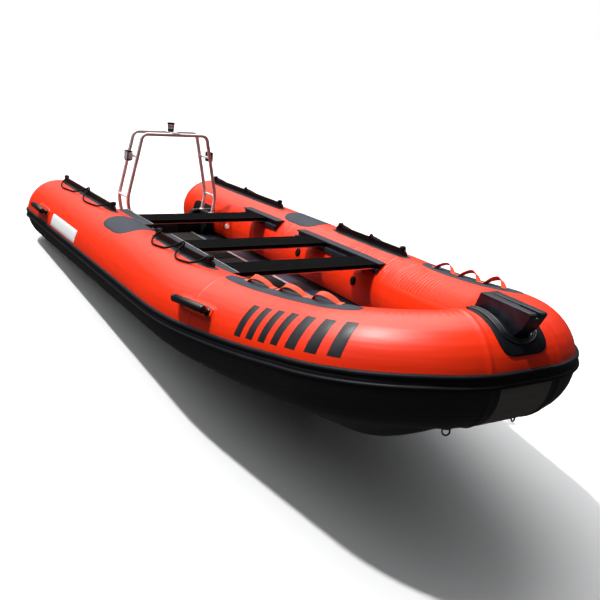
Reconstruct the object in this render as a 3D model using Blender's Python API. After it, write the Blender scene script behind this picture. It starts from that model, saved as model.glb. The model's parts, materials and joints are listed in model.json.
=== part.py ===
"""An inflatable rescue dinghy: side tubes and a blunt bow tube round a hard deck, three sliding thwarts,
a stainless light arch on the transom, grab handles, strap loops and laced flaps.

The boat is drawn in the hull's own level frame: X forward from the aft thwart's aft edge, Y to port and Z up
from the side tubes' axis. Ashore it rests on its keel and its two stern cones with the bow up, so every object
hangs from one empty, which turns the hull to that attitude and puts the ground at Z = 0.
Places on a tube are given by X and by an angle: 0 degrees is the outer side, 90 the top, 180 the inner side.
"""
import math

import bmesh
import bpy
import numpy as np
from mathutils import Matrix, Vector

# Driving dimensions, in metres
GAP = 0.0003                    # between pieces that touch
TUBE_R = 0.250
TUBE_Y = 0.684                  # side tube's axis from the centreline
STERN_X = -1.19                 # where the straight tube ends and its stern cone starts
CONE_LENGTH = 0.24
BOW_SHEER = 0.153               # rise of the tube's axis at the bow
SHEER_START_X = 1.34
SHEER_POWER = 2.18
# Corners of the tube's axis in plan: X, Y and the length of tangent that each corner is rounded by
PLAN_CORNERS = ((1.600, TUBE_Y, 0.200), (2.830, 0.4865, 0.272), (3.066, 0.193, 0.100))
BOW_X = PLAN_CORNERS[-1][0]
SEAM_Y = 0.150                  # where the side tubes meet the bow tube
TUBE_SIDES = 32
FLOOR_Z = -0.100
FLOOR_RISE_START_X = 1.90
KEEL_HALF_WIDTH = 0.035
BOTTOM_ANGLE = 260.0            # where the hull's fabric leaves the tube, near its lowest line
GROUND_SLOPE = 0.128            # fall of the ground under the level hull, a metre forward
PITCH = math.atan(GROUND_SLOPE)
KEEL_REST = (1.25, 1.65)        # stretch of the keel that lies on the ground


def ground_z(x):
    """Height of the ground in the hull's frame: it touches both stern tubes' undersides."""
    return -TUBE_R - GROUND_SLOPE * (x - STERN_X)


# The keel's underside: X, Z and slope
KEEL_LINE = ((-0.633, -0.290, -0.07), (0.40, -0.405, -0.15), (KEEL_REST[0], ground_z(KEEL_REST[0]), -GROUND_SLOPE),
             (KEEL_REST[1], ground_z(KEEL_REST[1]), -GROUND_SLOPE), (2.15, -0.558, 0.16), (2.50, -0.452, 0.47),
             (2.75, -0.312, 0.62), (3.02, -0.120, 0.75))

TRANSOM_X = -0.655              # middle of the transom board
TRANSOM_THICK = 0.045
TRANSOM_TOP = 0.100
ENGINE_NOTCH_Z = 0.030
ENGINE_NOTCH_HALF = 0.220
DECK_FRONT_X = 1.75
DECK_HALF = 0.225
DECK_TOP = -0.077
DECK_PANELS = 3
SEAT_LENGTH = 0.972
SEAT_WIDTH = 0.2115
SEAT_THICK = 0.026
SEAT_TOP = 0.202
SEATS = (("aft", 0.0), ("middle", 0.824), ("fore", 1.401))     # name and X of the aft edge
RAILS = (("aft", -0.160, 0.372), ("fore", 0.665, 1.640))       # name, aft end and fore end
ARCH_AFT_X, ARCH_FORE_X = -0.655, -0.460
ARCH_TUBE_R = 0.0135
ARCH_FOOT, ARCH_KNEE, ARCH_CORNER = (0.346, 0.1053), (0.369, 0.228), (0.262, 0.720)   # Y and Z
LAMP_Z = 0.547

SIDES = (("starboard", -1), ("port", 1))
COLOURS = {
    "orange": ((0.80, 0.10, 0.02), 0.35, 0.0), "black": ((0.012, 0.012, 0.014), 0.45, 0.0),
    "grey": ((0.075, 0.085, 0.10), 0.60, 0.0), "deck": ((0.035, 0.030, 0.026), 0.65, 0.0),
    "steel": ((0.62, 0.60, 0.58), 0.18, 1.0), "aluminium": ((0.60, 0.60, 0.60), 0.35, 1.0),
    "white": ((0.85, 0.86, 0.86), 0.45, 0.0), "webbing": ((0.75, 0.13, 0.05), 0.75, 0.0),
}


def new_collection(name, hidden=False):
    """A collection in the scene; a hidden one holds cutters and guides."""
    group = bpy.data.collections.new(name)
    bpy.context.scene.collection.children.link(group)
    group.hide_render = hidden
    return group


def material(name, colour):
    """A Principled material in one of the boat's colours."""
    rgb, roughness, metallic = COLOURS[colour]
    made = bpy.data.materials.new(name)
    made.use_nodes = True
    shader = made.node_tree.nodes["Principled BSDF"]
    shader.inputs["Base Color"].default_value = (*rgb, 1.0)
    shader.inputs["Roughness"].default_value = roughness
    shader.inputs["Metallic"].default_value = metallic
    made.diffuse_color = (*rgb, 1.0)
    return made


# The tube's axis

def axis_table(steps=40):
    """X and Y along the starboard axis from the stern cone to the bow's middle, close together."""
    corners = [(STERN_X, -TUBE_Y, 0.0)] + [(x, -y, cut) for x, y, cut in PLAN_CORNERS] + [(BOW_X, 0.0, 0.0)]
    line = [np.array(corners[0][:2])]
    for before, corner, after in zip(corners, corners[1:], corners[2:]):
        here = np.array(corner[:2])
        back, ahead = np.array(before[:2]) - here, np.array(after[:2]) - here
        start = here + back / np.linalg.norm(back) * corner[2]
        end = here + ahead / np.linalg.norm(ahead) * corner[2]
        for t in np.linspace(0.0, 1.0, steps):
            line.append((1 - t) ** 2 * start + 2 * t * (1 - t) * here + t * t * end)
    line.append(np.array(corners[-1][:2]))
    line = np.array(line)
    fine = np.concatenate([np.linspace(a, b, 12, endpoint=False) for a, b in zip(line, line[1:])] + [line[-1:]])
    return fine


def sheer(x):
    """Height of the tube's axis over the level line."""
    return BOW_SHEER * max(0.0, (x - SHEER_START_X) / (BOW_X - SHEER_START_X)) ** SHEER_POWER


AXIS = axis_table()
AXIS_S = np.concatenate([[0.0], np.cumsum(np.linalg.norm(np.diff(AXIS, axis=0), axis=1))])
AXIS_END = float(AXIS_S[-1])


def s_at_x(x):
    """Length along the axis at which it passes X."""
    return float(np.interp(x, AXIS[:, 0], AXIS_S))


def s_at_y(y):
    """Length along the axis at which the bow's axis is Y from the centreline."""
    return float(np.interp(-y, AXIS[:, 1], AXIS_S))


def axis_point(s):
    """Point of the starboard axis; before the stern it runs straight on."""
    x = float(np.interp(s, AXIS_S, AXIS[:, 0])) + min(s, 0.0)
    return Vector((x, float(np.interp(s, AXIS_S, AXIS[:, 1])), sheer(x)))


def axis_frame(s):
    """Centre, outward and upward directions of the starboard tube's section."""
    step = 0.01
    if s > AXIS_END - 1e-6:
        ahead = Vector((0.0, 1.0, 0.0))
    else:
        ahead = (axis_point(min(s + step, AXIS_END)) - axis_point(s - step)).normalized()
    outward = ahead.cross(Vector((0.0, 0.0, 1.0))).normalized()
    return axis_point(s), outward, outward.cross(ahead)


def on_tube(s, angle, lift=0.0, side=-1, radius=TUBE_R):
    """Point over the tube's skin; side is -1 to starboard and 1 to port."""
    centre, outward, up = axis_frame(s)
    reach = radius + lift
    turn = math.radians(angle)
    point = centre + reach * (math.cos(turn) * outward + math.sin(turn) * up)
    return Vector((point.x, -side * point.y, point.z))


def tube_stations():
    """Lengths along the axis at which the tubes have a ring: few where straight, more where they turn."""
    cuts = [s_at_x(x - cut) for x, _, cut in PLAN_CORNERS]
    first, second = s_at_x(PLAN_CORNERS[0][0] + 0.20), s_at_x(2.56)
    third, seam = s_at_x(2.99), s_at_y(SEAM_Y)
    side = [0.0, s_at_x(0.3), *np.linspace(cuts[0], first, 6), *np.linspace(first, second, 5)[1:],
            *np.linspace(second, third, 8)[1:], *np.linspace(third, seam, 4)[1:]]
    bow = [seam, *np.linspace(seam, AXIS_END, 3)[1:]]
    return side, bow


def on_skin(s, angle, lift=0.0, side=-1, radius=TUBE_R):
    """Like on_tube, on the flat-sided skin between the tube's own rings."""
    side_stations, bow_stations = tube_stations()
    rings = [-CONE_LENGTH, *side_stations, *bow_stations[1:]]
    i = min(max(int(np.searchsorted(rings, s)) - 1, 0), len(rings) - 2)
    before, after = (on_tube(rings[k], angle, lift, side, radius) for k in (i, i + 1))
    return before.lerp(after, (s - rings[i]) / (rings[i + 1] - rings[i]))


def clear_of(radius, step):
    """Radius at which a chord of step degrees just clears a round of the given radius."""
    return (radius + GAP) / math.cos(math.radians(step / 2))


# Making solids

class Boat:
    """The collections, the attitude empty and the makers that every piece shares."""

    def __init__(self):
        self.parts = new_collection("rescue_dinghy")
        self.cutters = new_collection("guides", hidden=True)
        self.attitude = bpy.data.objects.new("attitude", None)
        self.cutters.objects.link(self.attitude)

    def add(self, name, mesh, colour, smooth=40.0):
        """An object of the boat from a finished mesh."""
        mesh.name = name
        part = bpy.data.objects.new(name, mesh)
        mesh.materials.clear()
        mesh.materials.append(material(name, colour))
        mesh.shade_smooth()
        mesh.set_sharp_from_angle(angle=math.radians(smooth))
        self.parts.objects.link(part)
        part.parent = self.attitude
        return part

    def join(self, meshes):
        """One mesh from several overlapping closed ones, by Boolean union."""
        first = bpy.data.objects.new("joining", meshes[0])
        self.cutters.objects.link(first)
        helpers = []
        for mesh in meshes[1:]:
            helper = bpy.data.objects.new("joined", mesh)
            self.cutters.objects.link(helper)
            union = first.modifiers.new("union", "BOOLEAN")
            union.operation, union.object = "UNION", helper
            helpers.append(helper)
        result = bpy.data.meshes.new_from_object(first.evaluated_get(bpy.context.evaluated_depsgraph_get()))
        for helper in [first, *helpers]:
            bpy.data.objects.remove(helper)
        return result

    def cut(self, mesh, cutters):
        """A mesh less the closed meshes in cutters."""
        body = bpy.data.objects.new("cutting", mesh)
        self.cutters.objects.link(body)
        helpers = []
        for cutter in cutters:
            helper = bpy.data.objects.new("cutter", cutter)
            self.cutters.objects.link(helper)
            difference = body.modifiers.new("cut", "BOOLEAN")
            difference.operation, difference.object = "DIFFERENCE", helper
            helpers.append(helper)
        result = bpy.data.meshes.new_from_object(body.evaluated_get(bpy.context.evaluated_depsgraph_get()))
        for helper in [body, *helpers]:
            bpy.data.objects.remove(helper)
        return result

    def pipe(self, points, radius, sides=10, cyclic=False):
        """A round tube along a list of points, as a closed mesh."""
        curve = bpy.data.curves.new("pipe", "CURVE")
        curve.dimensions = "3D"
        curve.bevel_depth = radius
        curve.bevel_resolution = max(0, sides // 2 - 2) if sides > 4 else 0
        curve.use_fill_caps = not cyclic
        spline = curve.splines.new("POLY")
        spline.points.add(len(points) - 1)
        spline.use_cyclic_u = cyclic
        for knot, point in zip(spline.points, points):
            knot.co = (*point, 1.0)
        helper = bpy.data.objects.new("pipe", curve)
        self.cutters.objects.link(helper)
        mesh = bpy.data.meshes.new_from_object(helper.evaluated_get(bpy.context.evaluated_depsgraph_get()))
        bpy.data.objects.remove(helper)
        work = bmesh.new()
        work.from_mesh(mesh)
        bmesh.ops.remove_doubles(work, verts=work.verts, dist=0.00001)
        bmesh.ops.recalc_face_normals(work, faces=work.faces)
        work.to_mesh(mesh)
        work.free()
        return mesh


def loft(rings, strips=False):
    """A closed mesh through rings of equal count, with a flat end on the first and the last.

    With strips, the last ring is mirrored about the centreline and is closed by strips across it.
    """
    work = bmesh.new()
    rows = [[work.verts.new(point) for point in ring] for ring in rings]
    count = len(rows[0])
    for row, following in zip(rows, rows[1:]):
        for i in range(count):
            j = (i + 1) % count
            work.faces.new((row[i], row[j], following[j], following[i]))
    work.faces.new(rows[0][::-1])
    if strips:
        last = rows[-1]
        for i in range(count // 2 - 1):
            work.faces.new((last[i], last[i + 1], last[count - 2 - i], last[count - 1 - i]))
    else:
        work.faces.new(rows[-1])
    bmesh.ops.recalc_face_normals(work, faces=work.faces)
    if work.calc_volume(signed=True) < 0:
        bmesh.ops.reverse_faces(work, faces=work.faces)
    mesh = bpy.data.meshes.new("loft")
    work.to_mesh(mesh)
    work.free()
    return mesh


def box(low, high, bevel=0.0):
    """A box between two corners, with rounded edges if bevel is given."""
    work = bmesh.new()
    bmesh.ops.create_cube(work, size=1.0)
    size = [b - a for a, b in zip(low, high)]
    middle = [(a + b) / 2 for a, b in zip(low, high)]
    bmesh.ops.scale(work, vec=size, verts=work.verts)
    bmesh.ops.translate(work, vec=middle, verts=work.verts)
    if bevel:
        bmesh.ops.bevel(work, geom=work.edges[:], offset=bevel, segments=1, affect="EDGES", profile=0.5)
    mesh = bpy.data.meshes.new("box")
    work.to_mesh(mesh)
    work.free()
    return mesh


def drum(centre, direction, radius, length, sides=16, tip=None):
    """A cylinder or cone about a direction, its middle at centre."""
    work = bmesh.new()
    bmesh.ops.create_cone(work, cap_ends=True, segments=sides, radius1=radius, radius2=radius if tip is None else tip,
                          depth=length)
    turn = Vector((0, 0, 1)).rotation_difference(Vector(direction)).to_matrix().to_4x4()
    bmesh.ops.transform(work, matrix=Matrix.Translation(centre) @ turn, verts=work.verts)
    mesh = bpy.data.meshes.new("drum")
    work.to_mesh(mesh)
    work.free()
    return mesh


def smooth_line(knots, x):
    """Height at X on a smooth curve through knots of X, height and slope."""
    i = min(max(int(np.searchsorted([k[0] for k in knots], x)) - 1, 0), len(knots) - 2)
    (x0, z0, slope0), (x1, z1, slope1) = knots[i], knots[i + 1]
    span = x1 - x0
    t = (x - x0) / span
    start = (2 * t ** 3 - 3 * t * t + 1) * z0 + (t ** 3 - 2 * t * t + t) * span * slope0
    return start + (3 * t * t - 2 * t ** 3) * z1 + (t ** 3 - t * t) * span * slope1


def rounded_path(corners, cut, steps=5):
    """Points along a polyline whose inner corners are rounded by a tangent of length cut."""
    path = [Vector(corners[0])]
    for before, here, after in zip(corners, corners[1:], corners[2:]):
        here = Vector(here)
        start = here + (Vector(before) - here).normalized() * cut
        end = here + (Vector(after) - here).normalized() * cut
        path += [(1 - t) ** 2 * start + 2 * t * (1 - t) * here + t * t * end for t in np.linspace(0, 1, steps)]
    return path + [Vector(corners[-1])]


def superellipse(u, power):
    """Half width, from 1 to 0, of a rounded outline at u from -1 to 1."""
    return max(0.0, 1.0 - abs(u) ** power) ** (1.0 / power)


def skin_patch(side, x_aft, x_fore, angle_low, angle_high, thick=0.003, lift=0.0, power=4.0, stations=9, step=6.0):
    """A thin patch with rounded ends, bonded on a tube between two X and two angles."""
    s_mid, s_half = (s_at_x(x_aft) + s_at_x(x_fore)) / 2, (s_at_x(x_fore) - s_at_x(x_aft)) / 2
    a_mid, a_half = (angle_low + angle_high) / 2, (angle_high - angle_low) / 2
    across = max(2, round(2 * a_half / step))
    under = clear_of(TUBE_R, 2 * a_half / across) + lift
    rings = []
    own = [s_mid + s_half * math.sin(math.radians(turn)) for turn in np.linspace(-82.0, 82.0, stations)]
    shared = [s for s in sum(tube_stations(), []) if own[0] < s < own[-1] and min(abs(s - o) for o in own) > 0.004]
    for s in sorted(own + shared):
        half = a_half * superellipse((s - s_mid) / s_half, power)
        angles = np.linspace(a_mid - half, a_mid + half, across + 1)
        ring = [on_skin(s, a, 0.0, side, under) for a in angles]
        rings.append(ring + [on_skin(s, a, 0.0, side, under + thick) for a in angles[::-1]])
    return loft(rings)


# The hull

def tube_ring(s, side=-1, radius=TUBE_R):
    """One section of a tube."""
    return [on_tube(s, 360.0 * i / TUBE_SIDES, 0.0, side, radius) for i in range(TUBE_SIDES)]


def make_tubes(boat):
    """Side tubes with their stern cones and air valves, and the bow tube between them."""
    side_stations, bow_stations = tube_stations()
    valves = ((0.753, 164.0), (1.445, 168.0))
    for label, side in SIDES:
        cone = [(-CONE_LENGTH * math.cos(math.radians(turn)), TUBE_R * math.sin(math.radians(turn)))
                for turn in (8, 22, 38, 54, 70)]
        rings = [tube_ring(s, side, radius) for s, radius in cone]
        rings += [tube_ring(s, side) for s in side_stations[:-1]]
        rings.append(tube_ring(side_stations[-1] - GAP / 2, side))
        bosses = []
        for x, angle in valves:
            foot, out = on_tube(s_at_x(x), angle, -0.010, side), on_tube(s_at_x(x), angle, 0.008, side)
            bosses.append(drum((foot + out) / 2, out - foot, 0.028, (out - foot).length, 20))
        boat.add(f"tube_{label}", boat.join([loft(rings), *bosses]), "orange")
    half = [bow_stations[0] + GAP / 2, *bow_stations[1:]]
    rings = [tube_ring(s, -1) for s in half]
    rings += [[Vector((p.x, -p.y, p.z)) for p in ring] for ring in rings[-2::-1]]
    boat.add("tube_bow", loft(rings), "orange")


def strake_angle(s):
    """Middle of the rub strake on the tube, which climbs a little towards the bow."""
    ramp = min(max((axis_point(s).x - 1.2) / (BOW_X - 1.2), 0.0), 1.0)
    return -3.2 + 12.2 * ramp ** 1.7


def make_strake(boat):
    """Black rubber rub strake, one strip from stern to stern, with two ridges."""
    # Width from the strake's middle and height over the tube's skin
    profile = ((-0.034, 0.002), (-0.030, 0.014), (-0.018, 0.016), (-0.012, 0.008), (0.010, 0.008), (0.014, 0.013),
               (0.026, 0.012), (0.032, 0.002))
    half_angle = math.degrees(0.034 / TUBE_R)
    step = half_angle / 2
    under = [(math.radians(a), clear_of(TUBE_R, step)) for a in np.linspace(half_angle, -half_angle, 5)]

    def ring(s, side):
        middle = strake_angle(s)
        points = [on_tube(s, middle + math.degrees(w / TUBE_R), h, side, TUBE_R) for w, h in profile]
        return points + [on_tube(s, middle + math.degrees(a), 0.0, side, r) for a, r in under]

    side_stations, bow_stations = tube_stations()
    stations = [-0.10, *side_stations, *bow_stations[1:]]
    rings = [ring(s, -1) for s in stations[1:]]
    rings += [ring(s, 1) for s in stations[-2:0:-1]]
    boat.add("rub_strake", loft(rings), "black")


def floor_z(x):
    """Height of the fabric floor, which climbs at the bow."""
    rise = max(0.0, (x - FLOOR_RISE_START_X) / (BOW_X - FLOOR_RISE_START_X))
    return FLOOR_Z + 0.8 * BOW_SHEER * rise ** 1.5


def make_bottom(boat):
    """Black fabric bottom: a flat floor above, a V below down to the rounded keel."""
    steps = 6
    side_stations, bow_stations = tube_stations()
    start = s_at_x(TRANSOM_X + TRANSOM_THICK / 2 + GAP)
    stations = [start, s_at_x(0.40), *[s for s in side_stations if s > s_at_x(0.9)], bow_stations[1]]
    rings = []
    for s in stations:
        centre = axis_point(s)
        radius = clear_of(TUBE_R, 12.0) + 0.0005
        meet = 180.0 + math.degrees(math.asin((centre.z - floor_z(centre.x)) / radius))
        angles = np.linspace(meet, BOTTOM_ANGLE, steps + 1)
        right = [on_tube(s, a, 0.0, -1, radius) for a in angles]
        x = right[-1].x
        keel = min(smooth_line(KEEL_LINE, x), right[-1].z - 0.004)
        chine = right[-1].z
        half = min(KEEL_HALF_WIDTH, abs(right[-1].y) * 0.6)
        shoulder = min(0.085, abs(right[-1].y) * 0.8)
        lift = min(0.045, (chine - keel) * 0.5)
        under = [Vector((x, -shoulder, keel + lift)), Vector((x, -half, keel)), Vector((x, half, keel)),
                 Vector((x, shoulder, keel + lift))]
        left = [Vector((p.x, -p.y, p.z)) for p in right[::-1]]
        rings.append(right + under + left)
    boat.add("hull_bottom", loft(rings, strips=True), "black")


def make_transom(boat):
    """Transom board between the tubes, with a lower middle for an outboard, and its two knees."""
    steps = 8
    radius = clear_of(TUBE_R, 12.0)
    top_angle = 180.0 - math.degrees(math.asin(TRANSOM_TOP / radius))
    angles = np.linspace(top_angle, BOTTOM_ANGLE, steps + 1)
    s = s_at_x(TRANSOM_X)
    arc = [on_tube(s, a, 0.0, 1, radius) for a in angles]
    keel = smooth_line(KEEL_LINE, KEEL_LINE[0][0])
    half = [(p.y, p.z) for p in arc]
    outline = [(ENGINE_NOTCH_HALF, ENGINE_NOTCH_Z), (ENGINE_NOTCH_HALF + 0.045, TRANSOM_TOP), *half,
               (0.085, keel + 0.045), (KEEL_HALF_WIDTH, keel)]
    outline += [(-y, z) for y, z in outline[::-1]]
    ends = (TRANSOM_X - TRANSOM_THICK / 2, TRANSOM_X + TRANSOM_THICK / 2)
    boat.add("transom", loft([[Vector((x, y, z)) for y, z in outline] for x in ends]), "black")
    face = ends[1] + GAP
    knee = ((face, TRANSOM_TOP), (ARCH_FORE_X + 0.035, TRANSOM_TOP), (ARCH_FORE_X + 0.035, 0.055),
            (face + 0.045, FLOOR_Z + GAP), (face, FLOOR_Z + GAP))
    for label, side in SIDES:
        rings = [[Vector((x, side * (ARCH_FOOT[0] + w), z)) for x, z in knee] for w in (-0.030, 0.030)]
        boat.add(f"transom_knee_{label}", loft(rings), "black")


def make_deck(boat):
    """Hard deck panels on the floor and the aluminium stringers along their edges."""
    aft = TRANSOM_X + TRANSOM_THICK / 2 + 0.045 + 2 * GAP
    length = (DECK_FRONT_X - aft) / DECK_PANELS
    for number, name in enumerate(("aft", "middle", "fore")):
        start = aft + number * length
        boat.add(f"deck_panel_{name}", box((start, -DECK_HALF, FLOOR_Z + GAP),
                                           (start + length - GAP, DECK_HALF, DECK_TOP), 0.002), "deck")
    lip = 0.004
    for label, side in SIDES:
        near, far = DECK_HALF + GAP, DECK_HALF + 0.018
        ends = sorted((side * near, side * far))
        boat.add(f"deck_stringer_{label}", box((aft, ends[0], FLOOR_Z + GAP), (DECK_FRONT_X, ends[1],
                                               DECK_TOP + lip), 0.0015), "aluminium")


# Thwarts and their rails

RAIL_SLOT_LOW = SEAT_TOP - SEAT_THICK - 0.0008
RAIL_SLOT_HIGH = SEAT_TOP + 0.0008
RAIL_SLOT_Y = SEAT_LENGTH / 2 + 0.003


def make_seats(boat):
    """Three thwart boards, each with rounded edges."""
    for name, x in SEATS:
        low = (x, -SEAT_LENGTH / 2, SEAT_TOP - SEAT_THICK)
        boat.add(f"seat_{name}", box(low, (x + SEAT_WIDTH, SEAT_LENGTH / 2, SEAT_TOP), 0.003), "black")


def make_rails(boat):
    """Grooved grey rails bonded on the tubes' inner sides, which the thwarts' ends slide in."""
    top, lower, inner = RAIL_SLOT_HIGH + 0.008, 0.142, 0.472
    front = [(inner - 0.012, lower + 0.004), (inner - 0.012, RAIL_SLOT_LOW), (RAIL_SLOT_Y, RAIL_SLOT_LOW),
             (RAIL_SLOT_Y, RAIL_SLOT_HIGH), (inner, RAIL_SLOT_HIGH), (inner, top)]
    bend = PLAN_CORNERS[0][0] - PLAN_CORNERS[0][2]
    for name, start, end in RAILS:
        for label, side in SIDES:
            rings = []
            for x in (start, end) if end < bend else (start, bend, *np.linspace(bend, end, 4)[1:]):
                radius = clear_of(TUBE_R, 6.0) + (0.0022 if x > bend else 0.0)
                middle, axis_z = -axis_point(s_at_x(x)).y, sheer(x)
                heights = [lower + (top - lower) * k / 4 for k in range(4, -1, -1)]
                back = [(middle - math.sqrt(radius ** 2 - (z - axis_z) ** 2), z) for z in heights]
                rings.append([Vector((x, side * y, z)) for y, z in back + front])
            boat.add(f"seat_rail_{name}_{label}", loft(rings), "grey")


# Light arch

def make_arch(boat):
    """Two bent stainless hoops joined by rungs, on foot plates over the transom and its knees."""
    pieces = []
    for x in (ARCH_AFT_X, ARCH_FORE_X):
        half = [(x, y, z) for y, z in (ARCH_FOOT, ARCH_KNEE, ARCH_CORNER)]
        corners = half + [(x, -y, z) for x, y, z in half[::-1]]
        pieces.append(boat.pipe(rounded_path(corners, 0.045), ARCH_TUBE_R, 8))
        for side in (-1, 1):
            centre = (x, side * ARCH_FOOT[0], TRANSOM_TOP + GAP + 0.003)
            pieces.append(drum(centre, (0, 0, 1), 0.028 if x == ARCH_FORE_X else 0.022, 0.006, 16))
    (knee_y, knee_z), (corner_y, corner_z) = ARCH_KNEE, ARCH_CORNER
    lamp_y = knee_y + (corner_y - knee_y) * (LAMP_Z - knee_z) / (corner_z - knee_z)
    for side in (-1, 1):
        for y, z, radius in ((knee_y - 0.002, knee_z + 0.012, 0.009), (lamp_y, LAMP_Z, 0.009)):
            ends = [(x, side * y, z) for x in (ARCH_AFT_X, ARCH_FORE_X)]
            pieces.append(boat.pipe([Vector(p) for p in ends], radius, 8))
    plate_z = corner_z + ARCH_TUBE_R - 0.002
    pieces.append(box((ARCH_AFT_X - 0.010, -0.030, plate_z), (ARCH_FORE_X + 0.010, 0.030, plate_z + 0.004)))
    boat.add("light_arch", boat.join(pieces), "steel")
    make_lights(boat, plate_z + 0.004, lamp_y)


def make_lights(boat, plate_z, lamp_y):
    """All-round light on the arch's plate and a square lamp on each leg, facing outboard."""
    middle_x = (ARCH_AFT_X + ARCH_FORE_X) / 2
    # Radius at the foot and at the top, and the height of each stage of the all-round light
    stages = ((0.030, 0.030, 0.022), (0.024, 0.024, 0.034), (0.029, 0.024, 0.014))
    pieces, z = [], plate_z + GAP
    for low_r, high_r, height in stages:
        pieces.append(drum((middle_x, 0.0, z + height / 2), (0, 0, 1), low_r, height + 0.0004, 20, high_r))
        z += height
    boat.add("all_round_light", boat.join(pieces), "black")
    for label, side in SIDES:
        centre = Vector((middle_x, side * (lamp_y + 0.009 + GAP + 0.024), LAMP_Z))
        case = box((centre.x - 0.036, centre.y - 0.024, centre.z - 0.038),
                   (centre.x + 0.036, centre.y + 0.024, centre.z + 0.038), 0.005)
        boat.add(f"lamp_{label}", case, "black")


# Bow fittings

BOW_PATCH_THICK = 0.004


def bow_arc(angle, y, lift):
    """Point over the bow tube's skin on a fore-and-aft section at Y, by its angle from straight ahead."""
    turn = math.radians(angle)
    reach = TUBE_R + lift
    return Vector((BOW_X + reach * math.cos(turn), y, BOW_SHEER + reach * math.sin(turn)))


def make_bow(boat):
    """Bow patch, the moulded chock on it, and the towing ring under the bow."""
    under = clear_of(TUBE_R, 6.0) - TUBE_R + 0.0008
    rings = []
    for turn in np.linspace(-84, 84, 13):
        u = math.sin(math.radians(turn))
        angle = 69.0 + 40.0 * u
        half = (0.128 - 0.010 * u) * superellipse(u, 5.0)
        across = np.linspace(-half, half, 5)
        ring = [bow_arc(angle, y, under) for y in across]
        rings.append(ring + [bow_arc(angle, y, under + BOW_PATCH_THICK) for y in across[::-1]])
    boat.add("bow_patch", loft(rings), "grey")
    seat = under + BOW_PATCH_THICK + 0.0010
    lower = [bow_arc(angle, 0.0, seat) for angle in (106.0, 97.0, 88.0, 79.0, 70.0, 61.0, 54.0, 48.0)]
    profile = [(p.x, p.z) for p in lower] + [(3.274, 0.382), (3.309, 0.446), (3.311, 0.454), (3.302, 0.461), (3.022, 0.470)]
    half = 0.048
    chock = loft([[Vector((x, y, z)) for x, z in profile] for y in (-half, half)])
    groove = [box((3.20, -0.011, 0.434), (3.40, 0.011, 0.50)), box((3.05, -0.006, 0.457), (3.25, 0.006, 0.50))]
    boat.add("bow_chock", boat.cut(chock, groove), "black")
    for label, side in SIDES:
        make_tow_ring(boat, label, side)


TOW_RING_Y = 0.200
TOW_RING_ANGLE = -80.0


def make_tow_ring(boat, label, side):
    """Towing ring hanging from its patch on the bow's underside."""
    s = s_at_y(TOW_RING_Y)
    patch_rings = []
    for turn in np.linspace(-80, 80, 7):
        u = math.sin(math.radians(turn))
        half = 9.0 * superellipse(u, 3.0)
        angles = np.linspace(TOW_RING_ANGLE - half, TOW_RING_ANGLE + half, 4)
        base = clear_of(TUBE_R, 6.0) + 0.0006
        ring = [on_tube(s + 0.045 * u, a, 0.0, side, base) for a in angles]
        patch_rings.append(ring + [on_tube(s + 0.045 * u, a, 0.0, side, base + 0.004) for a in angles[::-1]])
    root, out = on_tube(s, TOW_RING_ANGLE, 0.002, side), on_tube(s, TOW_RING_ANGLE, 0.030, side)
    along = (on_tube(s + 0.01, TOW_RING_ANGLE, 0.002, side) - root).normalized()
    down = (out - root).normalized()
    ring = [root + down * (0.020 - 0.018 * math.cos(t)) + along * 0.018 * math.sin(t)
            for t in np.linspace(0, 2 * math.pi, 17)[:-1]]
    boat.add(f"tow_ring_{label}", boat.join([loft(patch_rings), boat.pipe(ring, 0.004, 8, cyclic=True)]), "black")


# Fittings on the side tubes

FLAPS = (("aft", -1.155, 0.165), ("fore", 0.845, 1.725))            # name, aft end and fore end
FLAP_ANGLE = 95.0
FLAP_HEIGHT = 0.040
POST_INSET = 0.085
KNOB_R = 0.011
CORD_R = 0.003
EYE_R = 0.0095


def flap_frame(x, lift):
    """Point over the flap's root at X and the direction in which the flap stands."""
    root = on_tube(s_at_x(x), FLAP_ANGLE, 0.0)
    out = (on_tube(s_at_x(x), FLAP_ANGLE, 0.1) - root).normalized()
    up = (out + Vector((0, 0, 1))).normalized()
    return root + up * lift, up


def mirrored(points, side):
    """Starboard points, or their mirror to port."""
    return [Vector((p.x, -side * p.y, p.z)) for p in points]


def make_flaps(boat):
    """Laced flaps: a long base patch, a standing flap with a knob at each end and an eye in the middle."""
    for name, start, end in FLAPS:
        for label, side in SIDES:
            base = skin_patch(side, start, end, FLAP_ANGLE - 9.0, FLAP_ANGLE + 9.0, 0.003, 0.0, 7.0, 11, 6.0)
            wall = []
            for x in (start + 0.040, *np.linspace(start + 0.068, end - 0.068, 6), end - 0.040):
                height = FLAP_HEIGHT * (0.3 if x in (start + 0.040, end - 0.040) else 1.0)
                low, up = flap_frame(x, 0.002)
                high = low + up * height
                across = Vector((0, 1, 0)) * 0.003
                wall.append(mirrored([low - across, high - across, high + across, low + across], side))
            pieces = [base, loft(wall)]
            for x in (start + POST_INSET, end - POST_INSET):
                centre, up = flap_frame(x, FLAP_HEIGHT + 0.008)
                centre, up = mirrored([centre, up], side)
                pieces.append(drum(centre, up, KNOB_R, 0.024, 8))
            centre, up = flap_frame((start + end) / 2, FLAP_HEIGHT + EYE_R)
            across = Vector((0, 1, 0))
            eye = [centre + EYE_R * (math.cos(t) * up + math.sin(t) * across)
                   for t in np.linspace(0, 2 * math.pi, 11)[:-1]]
            pieces.append(boat.pipe(mirrored(eye, side), 0.0035, 6, cyclic=True))
            boat.add(f"flap_{name}_{label}", boat.join(pieces), "black")


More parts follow.
